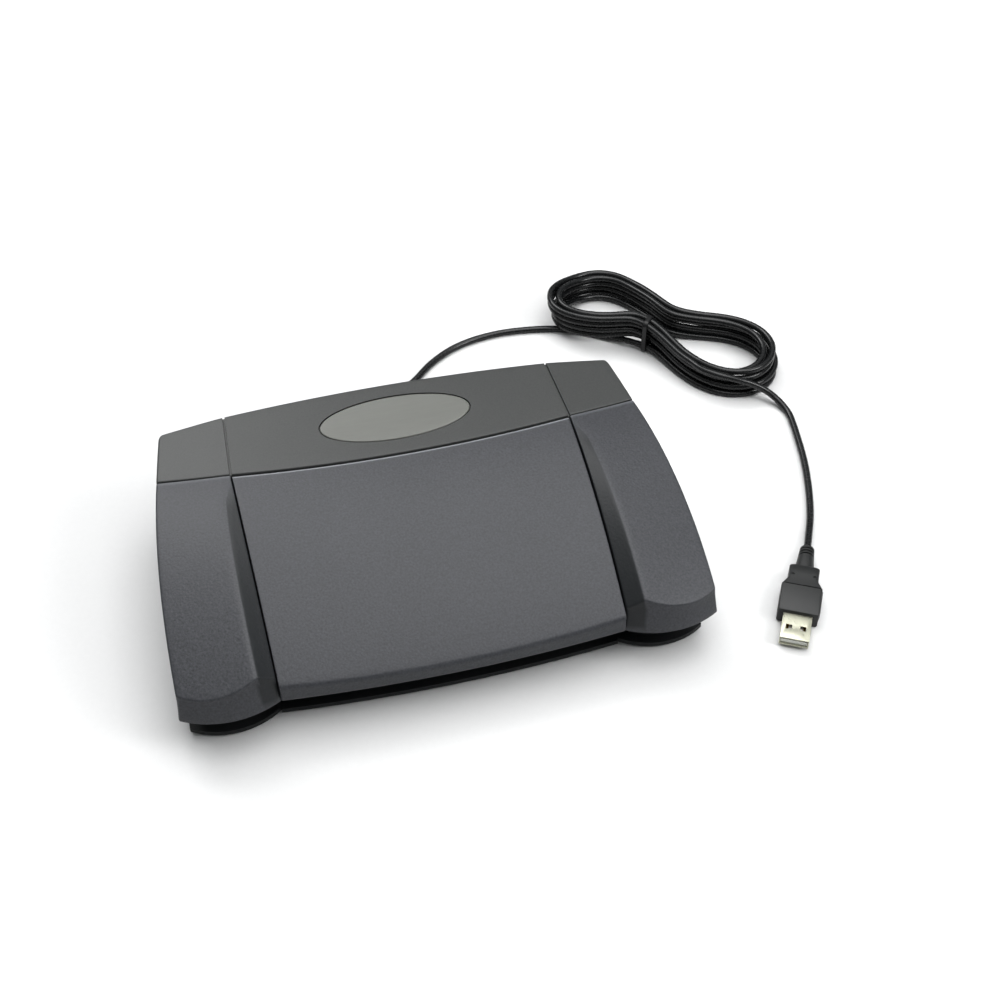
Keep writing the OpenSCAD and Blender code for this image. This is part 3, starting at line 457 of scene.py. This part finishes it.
def slope_at(y):
    """Seam, width, height at the seam and rise of a side pedal's inner slope."""
    t = min(max((y - FRONT) / (JUNCTION - FRONT), 0.0), 1.0)
    w = SLOPE_W - (SLOPE_W - SLOPE_REAR_W) * t ** 3
    x = seam_half(min(y, JUNCTION))
    low = centre_z(y) + GAP
    return x, w, low, max(LEAST_SLOPE, (side_z(x + w, y) - low) / w)


def side_top(x, y):
    seam, w, low, rise = slope_at(y)
    return soft_min(side_z(x, y), low + (x - seam) * rise, SLOPE_BLEND)


ARC_STEPS, SETTLE = 6, 8
RIM_R, RIM_CUT = 0.4, 0.12
# Share of the way down, inset and rise of each row of a skin's wall, round its rim and up the inside
SKIRT = [(0.25, 0, 0), (0.5, 0, 0), (0.75, 0, 0), (1, 0, RIM_R), (1, RIM_CUT, RIM_CUT), (1, RIM_R, 0),
    (1, WALL - RIM_R, 0), (1, WALL, RIM_R), (0.3, WALL, 0)]


def shell(left, right, front, rear, top, radii, columns, rows, low, lean):
    """A moulded skin over a four-sided plan: rounded edges, walls that may lean, and a rim as thick as the wall.
    columns are lines x(y) inside the rounding, rows are shares of the depth. low and lean are told how far a vertex
    lies into the front, rear and side rounding. Returns vertices, faces, the grid's face count and a mark on each
    vertex of the rear rounding."""
    r_left, r_right, r_front, r_rear = radii
    arc = [math.cos(math.pi / 2 * i / ARC_STEPS) for i in range(ARC_STEPS + 1)]
    cols = [("l", a) for a in arc] + [("i", f) for f in columns] + [("r", a) for a in reversed(arc)]
    lines = [("f", b) for b in arc] + [("i", t) for t in rows] + [("b", b) for b in reversed(arc)]
    verts, info = [], []
    for kind_b, b in lines:
        for kind_a, a in cols:
            ca, cb = (0.0 if kind_a == "i" else a), (0.0 if kind_b == "i" else b)
            r = math.hypot(ca, cb)
            if r > 1:
                ca, cb, r = ca / r, cb / r, 1.0
            x, y = 0.5 * (left(0) + right(0)), 0.0
            for _ in range(SETTLE):
                y0, y1 = front(x), rear(x)
                if kind_b == "f":
                    y = y0 + r_front * (1 - cb)
                elif kind_b == "b":
                    y = y1 - r_rear * (1 - cb)
                else:
                    y = y0 + r_front + b * (y1 - r_rear - y0 - r_front)
                if kind_a == "l":
                    x = left(y) + r_left * (1 - ca)
                elif kind_a == "r":
                    x = right(y) - r_right * (1 - ca)
                else:
                    x = a(y)
            r_a = r_left if kind_a == "l" else r_right
            r_b = r_front if kind_b == "f" else r_rear
            round_r = (ca * ca * r_a + cb * cb * r_b) / (r * r) if r > 0 else 0.0
            verts.append((x, y, top(x, y) - round_r * (1 - math.sqrt(max(0.0, 1 - r * r)))))
            info.append((cb if kind_b == "f" else 0.0, cb if kind_b == "b" else 0.0, ca))
    across, deep = len(cols), len(lines)
    grid = [(j * across + i, j * across + i + 1, (j + 1) * across + i + 1, (j + 1) * across + i)
        for j in range(deep - 1) for i in range(across - 1)]
    ring = list(range(across)) + [j * across + across - 1 for j in range(1, deep)]
    ring += [(deep - 1) * across + i for i in range(across - 2, -1, -1)] + [j * across for j in range(deep - 2, 0, -1)]
    count = len(ring)
    flat = [Vector(verts[i][:2]) for i in ring]
    inward = []
    for k in range(count):
        t = flat[(k + 1) % count] - flat[k - 1]
        inward.append(Vector((-t.y, t.x)).normalized())
    skirt = []
    for share, inset, rise in SKIRT:
        row = []
        for k, i in enumerate(ring):
            x, y, z = verts[i]
            bottom = low(x, y, z, info[i])
            height = z + share * (bottom - z) + rise
            dx, dy = lean(x, y, z - height, info[i])
            row.append((x + dx + inward[k].x * inset, y + dy + inward[k].y * inset, height))
        skirt.append(row)
    faces = list(grid)
    above = ring
    for row in skirt:
        base = len(verts)
        verts += row
        here = list(range(base, base + count))
        faces += [(above[k], here[k], here[(k + 1) % count], above[(k + 1) % count]) for k in range(count)]
        above = here
    # Vertices of the rear rounding are marked for a painted highlight on the pedals.
    painted_highlight = [1.0 if at[1] > 0 else 0.0 for at in info] + [0.0] * (len(verts) - len(info))
    return verts, faces, len(grid), painted_highlight


def shares(count):
    return [i / count for i in range(1, count)]


def between(a, b, count):
    """Lines that share out the plan between lines a and b, ends left out."""
    return [lambda y, t=t: a(y) + t * (b(y) - a(y)) for t in shares(count)]


def no_lean(x, y, drop, at):
    return 0.0, 0.0


# Height of the rod above the pedals' lower edge, a pedal's full swing and the room it keeps
ROD_UP, SWING, ROOM = 11.1, math.radians(6), 0.3
RELIEF = (ROD_UP * math.sin(SWING) + ROOM) / (CENTRE_TOP - LOW)
RELIEF_RUN = 12.0
PEDAL_SKIN, COVER_SKIN = 1.4, 1.9


def seam_front(x):
    """Where the pedals' skins end in front of the cover."""
    return cross_line(x, SKIN_GAP)


def rear_lean(x, y, drop):
    """The walls' rear ends lean forward towards the floor, so that a pedal can swing in front of the cover."""
    return -RELIEF * drop * max(0.0, 1 - (seam_front(x) - y) / RELIEF_RUN)


def pedal_low(x, y, z, at):
    """Walls reach the pedal's lower edge; at the rear only the skin's own thickness shows."""
    return z - PEDAL_SKIN if at[1] > at[2] else LOW


# Centre pedal
EDGE, CENTRE_FRONT_EDGE, CENTRE_REAR_EDGE, BESIDE = 0.4, 1.4, 1.0, 0.5
CENTRE_COLUMNS, CENTRE_ROWS, LAST_ROW = 64, 46, 0.994


def centre_lean(x, y, drop, at):
    return 0.0, rear_lean(x, y, drop)


def centre_left(y):
    return SKIN_GAP / 2 - seam_half(y)


def centre_right(y):
    return seam_half(y) - SKIN_GAP / 2


centre_cols = [lambda y: centre_left(y) + EDGE + BESIDE]
centre_cols += between(lambda y: centre_left(y) + EDGE, lambda y: centre_right(y) - EDGE, CENTRE_COLUMNS)
centre_cols += [lambda y: centre_right(y) - EDGE - BESIDE]
v, f, _, rim = shell(centre_left, centre_right, front_line, seam_front, lambda x, y: centre_z(y),
    (EDGE, EDGE, CENTRE_FRONT_EDGE, CENTRE_REAR_EDGE), centre_cols, shares(CENTRE_ROWS) + [LAST_ROW], pedal_low,
    centre_lean)
# Painted highlight: the centre pedal's rear rounding takes a lighter colour.
mark(piece("centre_pedal_skin", v, f, "pedal_plastic", "centre_pedal", ("centre_pedal",)), "rim", rim)


# Side pedals: the right one, and its mirror image
SIDE_EDGE, SEAM_EDGE, NOSE_EDGE, SIDE_REAR_EDGE = 0.9, 0.4, 0.7, 0.5
SLOPE_COLUMNS, SIDE_COLUMNS, SIDE_ROWS = 10, 20, 60
CORNER, NOSE_GUESS, NOSE_ROUNDS, LEAST_RIDGE = 5.0, FRONT + 4, 5, 0.9
# Inset and height where the inner slope's painted shade stops, and how strong the side pedals' painted highlight is
PAINTED_SHADE_INSET, PAINTED_SHADE_UP, SIDE_PAINTED_HIGHLIGHT = 0.1, 0.5, 0.4


def nose_front(x):
    """The upper edge of the leaning nose, found in a few rounds since the top falls towards it."""
    y = NOSE_GUESS
    for _ in range(NOSE_ROUNDS):
        r = NOSE_R - (side_top(x, y) - LOW) * TAPER
        y = NOSE_Y - math.sqrt(max(r * r - (x - NOSE_X) ** 2, 1.0))
    return y


def nose_lean(x, y, drop, at):
    out = Vector((x - NOSE_X, y - NOSE_Y)).normalized() * TAPER * drop * at[0]
    return out.x, out.y + rear_lean(x, y, drop)


def side_right(y):
    """Outer side, drawn in by a round corner at the nose."""
    x = side_x(y)
    start = NOSE_Y - math.sqrt(NOSE_R ** 2 - (x - NOSE_X) ** 2) + CORNER
    return x - corner_in(CORNER, start - y)


def side_left(y):
    return seam_half(y) + SKIN_GAP / 2


def ridge(y):
    """Where the inner slope meets the top."""
    seam, w, low, rise = slope_at(y)
    top = side_z(seam, y)
    fall = top - side_z(seam + 1, y)
    return seam + min(max((top - low) / (rise + fall), LEAST_RIDGE), w)


side_cols = between(lambda y: side_left(y) + SEAM_EDGE, ridge, SLOPE_COLUMNS) + [ridge]
side_cols += between(ridge, lambda y: side_right(y) - SIDE_EDGE, SIDE_COLUMNS)
v, f, _, rim = shell(side_left, side_right, nose_front, seam_front, side_top,
    (SEAM_EDGE, SIDE_EDGE, NOSE_EDGE, SIDE_REAR_EDGE), side_cols, shares(SIDE_ROWS), pedal_low, nose_lean)
right_skin = piece("right_pedal_skin", v, f, "pedal_plastic", "right_pedal", ("right_pedal",))
left_skin = piece("left_pedal_skin", [(-x, y, z) for x, y, z in v], [tuple(reversed(q)) for q in f], "pedal_plastic",
    "left_pedal", ("left_pedal",))


def painted_shade_at(x, y, z):
    """How far a point lies on the inner slope, which gets painted shade: a darker colour in the pedal's finish."""
    seam, w, low, rise = slope_at(y)
    on_slope = x < ridge(y) - PAINTED_SHADE_INSET and z > LOW + PAINTED_SHADE_UP
    return min(max(side_z(seam, y) - low, 0.0), 1.0) if on_slope else 0.0


for skin in (right_skin, left_skin):
    # Painted shade: the inner slope is marked to take a darker colour.
    mark(skin, "band", [painted_shade_at(x, y, z) for x, y, z in v])
    # Painted highlight: the side pedal's rear rounding takes a lighter colour, weaker than on the centre pedal.
    mark(skin, "rim", [SIDE_PAINTED_HIGHLIGHT * m for m in rim])


# Rear cover
COVER_STEP = 0.3
COVER_Z = centre_z(CROSS) + COVER_STEP
COVER_EDGE, COVER_FRONT_EDGE, REAR_CORNER = 0.9, 0.5, 2.5
GROOVE_HALF, GROOVE_D, GROOVE_IN, GROOVE_OUT = 0.45, 0.9, 0.4, 0.5
PANEL_COLUMNS, END_COLUMNS, COVER_ROWS = 60, 18, 28
BADGE_Y, BADGE_L, BADGE_W, BADGE_T, BADGE_GAP = CROSS + 20.25, 64.4, 24.6, 1.2, 0.5
BADGE_STEPS, HOLE_X, HOLE_Y = 96, 37, 15.2
# Inset and drop of each ring of the badge, from its wall over its rounded edge
BADGE_PROFILE = ((0, 1.15), (0, 0.35), (0.1, 0.1), (0.35, -0.05), (0.7, -0.1), (1.5, -0.12))


def cover_z(y):
    return COVER_Z + (y - CROSS) * math.tan(RISE)


def cover_top(x, y):
    """The middle panel, a groove on each side, and side panels that fall outwards."""
    x = abs(x)
    if abs(x - panel_half(y)) < GROOVE_HALF:
        return cover_z(y) - GROOVE_D
    return cover_z(y) - max(x - SEAM_MID, 0.0) * math.tan(FALL)


def cover_right(y):
    x = side_x(y)
    return x - corner_in(REAR_CORNER, y - (rear_line(x) - REAR_CORNER))


def cover_low(x, y, z, at):
    """Walls reach the base; at the cross seam only the skin's own thickness shows."""
    return z - COVER_SKIN if at[0] > at[2] else FLOOR


half_cols = [lambda y, d=d: panel_half(y) + d for d in (-GROOVE_OUT, -GROOVE_IN, GROOVE_IN, GROOVE_OUT)]
half_cols += between(lambda y: panel_half(y) + GROOVE_OUT, lambda y: cover_right(y) - COVER_EDGE, END_COLUMNS)
cover_cols = [lambda y, g=g: -g(y) for g in reversed(half_cols)]
cover_cols += between(lambda y: GROOVE_OUT - panel_half(y), lambda y: panel_half(y) - GROOVE_OUT, PANEL_COLUMNS)
v, f, top_faces, _ = shell(lambda y: -cover_right(y), cover_right, cross_line, rear_line, cover_top,
    (COVER_EDGE, COVER_EDGE, COVER_FRONT_EDGE, COVER_EDGE), cover_cols + half_cols, shares(COVER_ROWS), cover_low,
    no_lean)


def badge_loop(length, width, drop):
    """An oval in the plane of the cover's top, drop below it."""
    ways = [2 * math.pi * i / BADGE_STEPS for i in range(BADGE_STEPS)]
    c, s = math.cos(RISE), math.sin(RISE)
    return [(x, BADGE_Y + y * c + drop * s, cover_z(BADGE_Y) + y * s - drop * c)
        for x, y in ((length / 2 * math.cos(w), width / 2 * math.sin(w)) for w in ways)]


# The badge lies in an oval pocket: faces round it make way, and new ones join what is left to the pocket's edge
hole = [q for q in f[:top_faces] if all(abs(v[i][0]) < HOLE_X and abs(v[i][1] - BADGE_Y) < HOLE_Y for i in q)]
in_hole = set(hole)
kept = [q for q in f if q not in in_hole]
bm = bmesh.new()
points = [bm.verts.new(Vector(p) * MM) for p in v]
for q in kept:
    bm.faces.new([points[i] for i in q])
loops = [[bm.verts.new(Vector(p) * MM) for p in badge_loop(BADGE_L + 2 * BADGE_GAP, BADGE_W + 2 * BADGE_GAP, d)]
    for d in (0.0, BADGE_T)]
edges = [bm.edges.new((loops[0][i], loops[0][i - 1])) for i in range(len(loops[0]))]
inside_edge = {}
for q in hole:
    for i in range(4):
        key = frozenset((q[i], q[i - 1]))
        inside_edge[key] = inside_edge.get(key, 0) + 1
for key, uses in inside_edge.items():
    if uses == 1:
        a, b = key
        edges.append(bm.edges.get((points[a], points[b])))
filled = bmesh.ops.triangle_fill(bm, use_beauty=True, use_dissolve=False, edges=edges)
for face in [g for g in filled["geom"] if isinstance(g, bmesh.types.BMFace)]:
    if face.normal.z < 0:
        face.normal_flip()
for i in range(len(loops[0])):
    bm.faces.new((loops[0][i - 1], loops[0][i], loops[1][i], loops[1][i - 1]))
bm.faces.new(loops[1])
bmesh.ops.delete(bm, geom=[p for p in bm.verts if not p.link_faces], context="VERTS")
cover_mesh = bpy.data.meshes.new("cover_skin")
bm.to_mesh(cover_mesh)
bm.free()
dress(placed("cover_skin", cover_mesh), "cover_plastic", "base", ("rear_cover",))

rings = [badge_loop(BADGE_L - 2 * inset, BADGE_W - 2 * inset, drop) for inset, drop in BADGE_PROFILE]
verts = [p for ring_points in rings for p in ring_points]
piece("badge_face", verts, rings_to_faces(len(rings), BADGE_STEPS), "badge_metal", "base", ("badge_plate",),
    ROUND_CREASE)


# What is inside the shells: the solids' own faces, without those that the skins stand for
CLOSE, NOSE_CLOSE, REAR_CLOSE, RIM_CLOSE, RIM_SPARE = 0.1, 0.15, 0.3, 0.05, 0.5
SIDE_UNDER, COVER_UNDER, EDGE_DEEP = 0.8, 1.35, 3


def inside_of(name, node, body, slot, outer):
    source = nodes[node].data
    faces, used = [], {}
    for poly in source.polygons:
        corners = [source.vertices[i].co / MM for i in poly.vertices]
        if all(outer(*p) for p in corners):
            continue
        faces.append([used.setdefault(i, len(used)) for i in poly.vertices])
    verts = [None] * len(used)
    for i, k in used.items():
        verts[k] = tuple(source.vertices[i].co / MM)
    return piece(name, verts, faces, slot, body, (), INSIDE_CREASE)


def on_rear_edge(x, y, z, top):
    """On the upper part of a pedal's rear end."""
    return abs(cross_line(x, GAP + RELIEF * (CENTRE_TOP - z)) - y) < REAR_CLOSE and z > top - EDGE_DEEP


def on_rim(z, *insets):
    """On the walls' lower edge, which the skins' own rim stands for."""
    return abs(z - LOW) < RIM_CLOSE and min(insets) < WALL + RIM_SPARE


def outer_centre(x, y, z):
    front_inset, inset = y - front_line(x), seam_half(y) - GAP / 2 - abs(x)
    return (abs(z - centre_z(y)) < CLOSE or abs(inset) < CLOSE or abs(front_inset) < CLOSE
        or on_rim(z, front_inset, inset) or on_rear_edge(x, y, z, centre_z(y)))


def outer_side(x, y, z):
    x = abs(x)
    top = side_top(x, y)
    nose_inset = NOSE_R - (z - LOW) * TAPER - math.hypot(x - NOSE_X, y - NOSE_Y) if y < NOSE_Y else NOSE_R
    inset, side_inset = x - seam_half(y) - GAP / 2, side_x(y) - x
    return (z > top - SIDE_UNDER or abs(inset) < CLOSE or abs(side_inset) < CLOSE or abs(nose_inset) < NOSE_CLOSE
        or on_rim(z, nose_inset, side_inset, inset) or on_rear_edge(x, y, z, top))


def outer_cover(x, y, z):
    top = cover_top(x, y)
    return (z > min(cover_z(y), top) - COVER_UNDER or abs(abs(x) - side_x(y)) < CLOSE
        or abs(y - rear_line(x)) < CLOSE or (abs(cross_line(x) - y) < CLOSE and z > top - EDGE_DEEP))


inside_of("centre_pedal_inside", "centre_pedal", "centre_pedal", "pedal_plastic", outer_centre)
inside_of("left_pedal_inside", "left_pedal", "left_pedal", "pedal_plastic", outer_side)
inside_of("right_pedal_inside", "right_pedal", "right_pedal", "pedal_plastic", outer_side)
inside_of("cover_inside", "rear_cover", "base", "cover_plastic", outer_cover)


# Return springs: coils of round wire on the base, drawn at one length; the real springs shorten as their pedals go down
SPRING_R, SPRING_Y, SPRING_Z, SPRING_H = 5.5, -10, 6.4, 31.1
COILS, COIL_STEPS, WIRE_R, WIRE_SIDES = 7, 28, 0.7, 8


def spring(name, node, xs):
    verts, faces = [], []
    steps = COILS * COIL_STEPS
    for x in xs:
        path = []
        for i in range(steps + 1):
            a = 2 * math.pi * i / COIL_STEPS
            z = SPRING_Z + SPRING_H * i / steps
            path.append((x + SPRING_R * math.cos(a), SPRING_Y + SPRING_R * math.sin(a), z))
        start = len(verts)
        verts += tube_rings(path, WIRE_R, WIRE_SIDES)
        faces += [tuple(i + start for i in q) for q in rings_to_faces(len(path), WIRE_SIDES)]
    obj = piece(name, verts, faces, "spring_steel", "base", (node,), ROUND_CREASE)
    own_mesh(obj)


spring("left_spring_wire", "left_return_spring", [-NOSE_X])
spring("centre_spring_wire", "centre_return_springs", [-SEAM_MID / 2, SEAM_MID / 2])
spring("right_spring_wire", "right_return_spring", [NOSE_X])


# Plug, drawn along +X from the end of its boot
QUARTER_STEPS = 5
heading = Vector((-0.48, -0.88, 0)).normalized()
plug_place = (Matrix.Translation(Vector(BOOT_START) * MM)
    @ Matrix((heading, Vector((-heading.y, heading.x, 0)), Vector((0, 0, 1)))).transposed().to_4x4())


def rounded_ring(x, half_w, half_t, r):
    """A rounded rectangle across the plug."""
    r = min(r, half_w, half_t)
    out = []
    for q, (sy, sz) in enumerate(((1, 1), (-1, 1), (-1, -1), (1, -1))):
        for i in range(QUARTER_STEPS + 1):
            a = math.pi / 2 * (q + i / QUARTER_STEPS)
            out.append((x, sy * (half_w - r) + r * math.cos(a), sz * (half_t - r) + r * math.sin(a)))
    return out


def loft(name, sections, slot, stands_for=(), extra=((), ())):
    """A piece through rounded sections along the plug, with extra vertices and faces beside it."""
    verts = [p for s in sections for p in rounded_ring(*s)]
    faces = rings_to_faces(len(sections), 4 * (QUARTER_STEPS + 1))
    faces += [tuple(i + len(verts) for i in f) for f in extra[1]]
    obj = piece(name, verts + list(extra[0]), faces, slot, "base", stands_for)
    obj.matrix_world = plug_place
    return obj


RIB_SUNK, RIB_STRAIGHT, RIB_CUT = 0.4, 0.4, 0.22


def rib_bars(xs, side, depth, half_x, half_z):
    """Chamfered bars on both sides of the grip."""
    verts, faces = [], []
    for x in xs:
        for s in (-1, 1):
            start = len(verts)
            for y, cut in ((side - RIB_SUNK, 0), (side + depth * RIB_STRAIGHT, 0), (side + depth, RIB_CUT)):
                verts += [(x + i * (half_x - cut), s * y, k * (half_z - cut))
                    for i, k in ((-1, -1), (1, -1), (1, 1), (-1, 1))]
            quads = [(start + r + i, start + r + (i + 1) % 4, start + r + 4 + (i + 1) % 4, start + r + 4 + i)
                for r in (0, 4) for i in range(4)]
            quads += [(start + 3, start + 2, start + 1, start), (start + 8, start + 9, start + 10, start + 11)]
            faces += [q[::-1] for q in quads] if s > 0 else quads
    return verts, faces


def carved(obj, outlines, low, high):
    """Takes upright prisms with these outlines out of a piece."""
    verts, faces = [], []
    for outline in outlines:
        faces += [tuple(i + len(verts) for i in f) for f in rings_to_faces(2, len(outline))]
        verts += [(x * MM, y * MM, z * MM) for z in (low, high) for x, y in outline]
    mesh = bpy.data.meshes.new("cutter")
    mesh.from_pydata(verts, [], faces)
    cutter = placed("cutter", mesh)
    cutter.matrix_world = obj.matrix_world
    cut = obj.modifiers.new("cut", "BOOLEAN")
    cut.operation, cut.solver, cut.object = "DIFFERENCE", "EXACT", cutter
    bpy.context.view_layer.update()
    done = bpy.data.meshes.new_from_object(obj.evaluated_get(bpy.context.evaluated_depsgraph_get()))
    obj.modifiers.remove(cut)
    obj.data = done
    done.shade_smooth()
    done.set_sharp_from_angle(angle=math.radians(CREASE))
    bpy.data.objects.remove(cutter)


BOOT_L, GRIP_L, GRIP_W, GRIP_T = 13.0, 27.0, 17.7, 8.0
RIB_OUT, RIB_START, RIB_STEP, RIBS, RIB_HALF_X, RIB_HALF_Z = 0.35, 12.6, 1.2, 10, 0.38, 2.5
NECK_SHARE = 0.36
DIMPLE_X, DIMPLE_R, DIMPLE_OUT, DIMPLE_STEPS = 6.5, 0.8, 0.72, 20
LINE_START, LINE_END, LINE_HALF = 11.7, 12.1, 9
CARVED_D = 0.45
# Sections: place along the plug, half width, half thickness and corner radius
neck, full, thick = GRIP_W * NECK_SHARE, GRIP_W / 2 - RIB_OUT, GRIP_T / 2
sections = [(BOOT_L, neck - 1.6, thick - 1.2, 1.5), (BOOT_L + 0.3, neck - 0.7, thick - 0.4, 1.3),
    (BOOT_L + 1, neck, thick, 1.2), (BOOT_L + 8, neck, thick, 1.2), (BOOT_L + 11.4, full - 0.3, thick, 1.0),
    (BOOT_L + 11.9, full, thick, 0.9), (BOOT_L + GRIP_L - 0.8, full, thick, 0.9),
    (BOOT_L + GRIP_L - 0.25, full - 0.25, thick - 0.25, 0.9), (BOOT_L + GRIP_L, full - 0.8, thick - 0.8, 0.8)]
rib_places = [BOOT_L + RIB_START + RIB_STEP * i for i in range(RIBS)]
ribs = rib_bars(rib_places, full, RIB_OUT, RIB_HALF_X, RIB_HALF_Z)
grip = loft("plug_body", sections, "plug_plastic", ("plug_grip",), ribs)
ways = [2 * math.pi * i / DIMPLE_STEPS for i in range(DIMPLE_STEPS)]
dimples = [[(BOOT_L + DIMPLE_X + DIMPLE_R * math.cos(w), s * neck * DIMPLE_OUT + DIMPLE_R * math.sin(w)) for w in ways]
    for s in (-1, 1)]
step_line = [(BOOT_L + x, y) for x, y in ((LINE_START, -LINE_HALF), (LINE_END, -LINE_HALF), (LINE_END, LINE_HALF),
    (LINE_START, LINE_HALF))]
carved(grip, dimples + [step_line], thick - CARVED_D, thick + 1)
# A radius larger than the section makes it round
ROUND = 9
SLOTS, SLOT_START, SLOT_STEP, SLOT_D, SLOT_R, SLOT_GROW = 3, 1.5, 1.7, 0.8, 3.15, 0.12
boot = [(0, 2.1, 2.1, 2.1), (0.2, 2.9, 2.9, 2.9), (0.45, 3.1, 3.1, ROUND)]
for i in range(SLOTS):
    start, r = SLOT_START + i * SLOT_STEP, SLOT_R + i * SLOT_GROW
    boot += [(start + x, r + out, r + out, ROUND) for x, out in ((-0.05, 0), (0, -0.1), (0.05, -SLOT_D), (0.6, -SLOT_D),
        (0.65, -0.05), (0.7, 0.05))]
boot += [(7, 3.55, 3.5, ROUND), (BOOT_L - 0.4, 4.1, 3.6, ROUND), (BOOT_L + 0.6, 4.2, 3.5, ROUND)]
boot_piece = loft("plug_boot", boot, "plug_plastic")


SAME, FLAT, EDGE_ANGLE = 1e-6, math.radians(2), math.radians(32)


def softened(name, node, slot, width):
    """A solid's own shape with its edges softened."""
    bm = bmesh.new()
    bm.from_mesh(nodes[node].data)
    bmesh.ops.remove_doubles(bm, verts=bm.verts, dist=SAME)
    bmesh.ops.dissolve_limit(bm, angle_limit=FLAT, verts=bm.verts, edges=bm.edges)
    corners = [e for e in bm.edges if len(e.link_faces) == 2 and e.calc_face_angle(0) > EDGE_ANGLE]
    bmesh.ops.bevel(bm, geom=corners, offset=width * MM, segments=3, profile=0.5, affect="EDGES", clamp_overlap=True)
    mesh = bpy.data.meshes.new(name)
    bm.to_mesh(mesh)
    bm.free()
    return dress(placed(name, mesh), slot, "base", (node,), SOFT_CREASE)


shell_piece = softened("plug_sheet", "plug_shell", "plug_metal", 0.12)
relief = softened("relief_sleeve", "strain_relief", "boot_rubber", 0.25)


# Floor and light, in metres
FLOOR_HALF, GLOW_START, GLOW_END = 4, 0.7, 1.8
FILL_COLOUR, FILL_STRENGTH, GAMMA = (0.75, 0.93, 1, 1), 0.06, 0.85
floor_mesh = bpy.data.meshes.new("floor")
floor_mesh.from_pydata([(x * FLOOR_HALF, y * FLOOR_HALF, 0) for x, y in ((-1, -1), (1, -1), (1, 1), (-1, 1))], [],
    [(0, 1, 2, 3)])
floor = placed("floor", floor_mesh)
paper = finish_of("floor_paper", srgb(208, 208, 208), srgb(212, 212, 212), 0.9, 400, 0.0, 0, 5, specular=0.1)
floor.data.materials.append(paper)

# Far from the object the paper glows, as a lit backdrop does
far = add(paper.node_tree, "ShaderNodeVectorMath", operation="LENGTH")
paper.node_tree.links.new(add(paper.node_tree, "ShaderNodeTexCoord").outputs["Object"], far.inputs[0])
paper_shader = paper.node_tree.nodes["Principled BSDF"]
paper_shader.inputs["Emission Color"].default_value = (1, 1, 1, 1)
paper.node_tree.links.new(ramp(paper.node_tree, far.outputs["Value"], 0.0, 1.0, GLOW_START, GLOW_END),
    paper_shader.inputs["Emission Strength"])


def softbox(name, place, aim, wide, deep, power):
    lamp = bpy.data.lights.new(name, "AREA")
    lamp.shape, lamp.size, lamp.size_y, lamp.energy = "RECTANGLE", wide, deep, power
    obj = placed(name, lamp)
    obj.location = place
    obj.rotation_euler = (Vector(aim) - Vector(place)).to_track_quat("-Z", "Y").to_euler()


softbox("canopy", (0.2, 0.1, 1.2), (0.2, 0.1, 0), 0.9, 1.4, 15)
softbox("ceiling", (0, 0, 4), (0, 0, 0), 16, 16, 420)
softbox("left_sheen", (-0.4, 1.05, 1.2), (-0.1, 0.1, 0), 0.8, 0.7, 10.5)
softbox("right_fill", (0.9, -0.55, 0.85), (0.1, 0, 0), 0.5, 0.5, 8)
world = bpy.data.worlds.new("studio")
bpy.context.scene.world = world
world.use_nodes = True
fill = world.node_tree.nodes["Background"]
fill.inputs["Color"].default_value = FILL_COLOUR
fill.inputs["Strength"].default_value = FILL_STRENGTH

# The camera sees white behind the floor's end
backdrop = add(world.node_tree, "ShaderNodeBackground", Color=(1, 1, 1, 1), Strength=1.0)
behind = add(world.node_tree, "ShaderNodeMixShader")
world.node_tree.links.new(add(world.node_tree, "ShaderNodeLightPath").outputs["Is Camera Ray"], behind.inputs[0])
world.node_tree.links.new(fill.outputs[0], behind.inputs[1])
world.node_tree.links.new(backdrop.outputs[0], behind.inputs[2])
world.node_tree.links.new(behind.outputs[0], world.node_tree.nodes["World Output"].inputs["Surface"])
bpy.context.scene.view_settings.view_transform = "Standard"
bpy.context.scene.view_settings.gamma = GAMMA
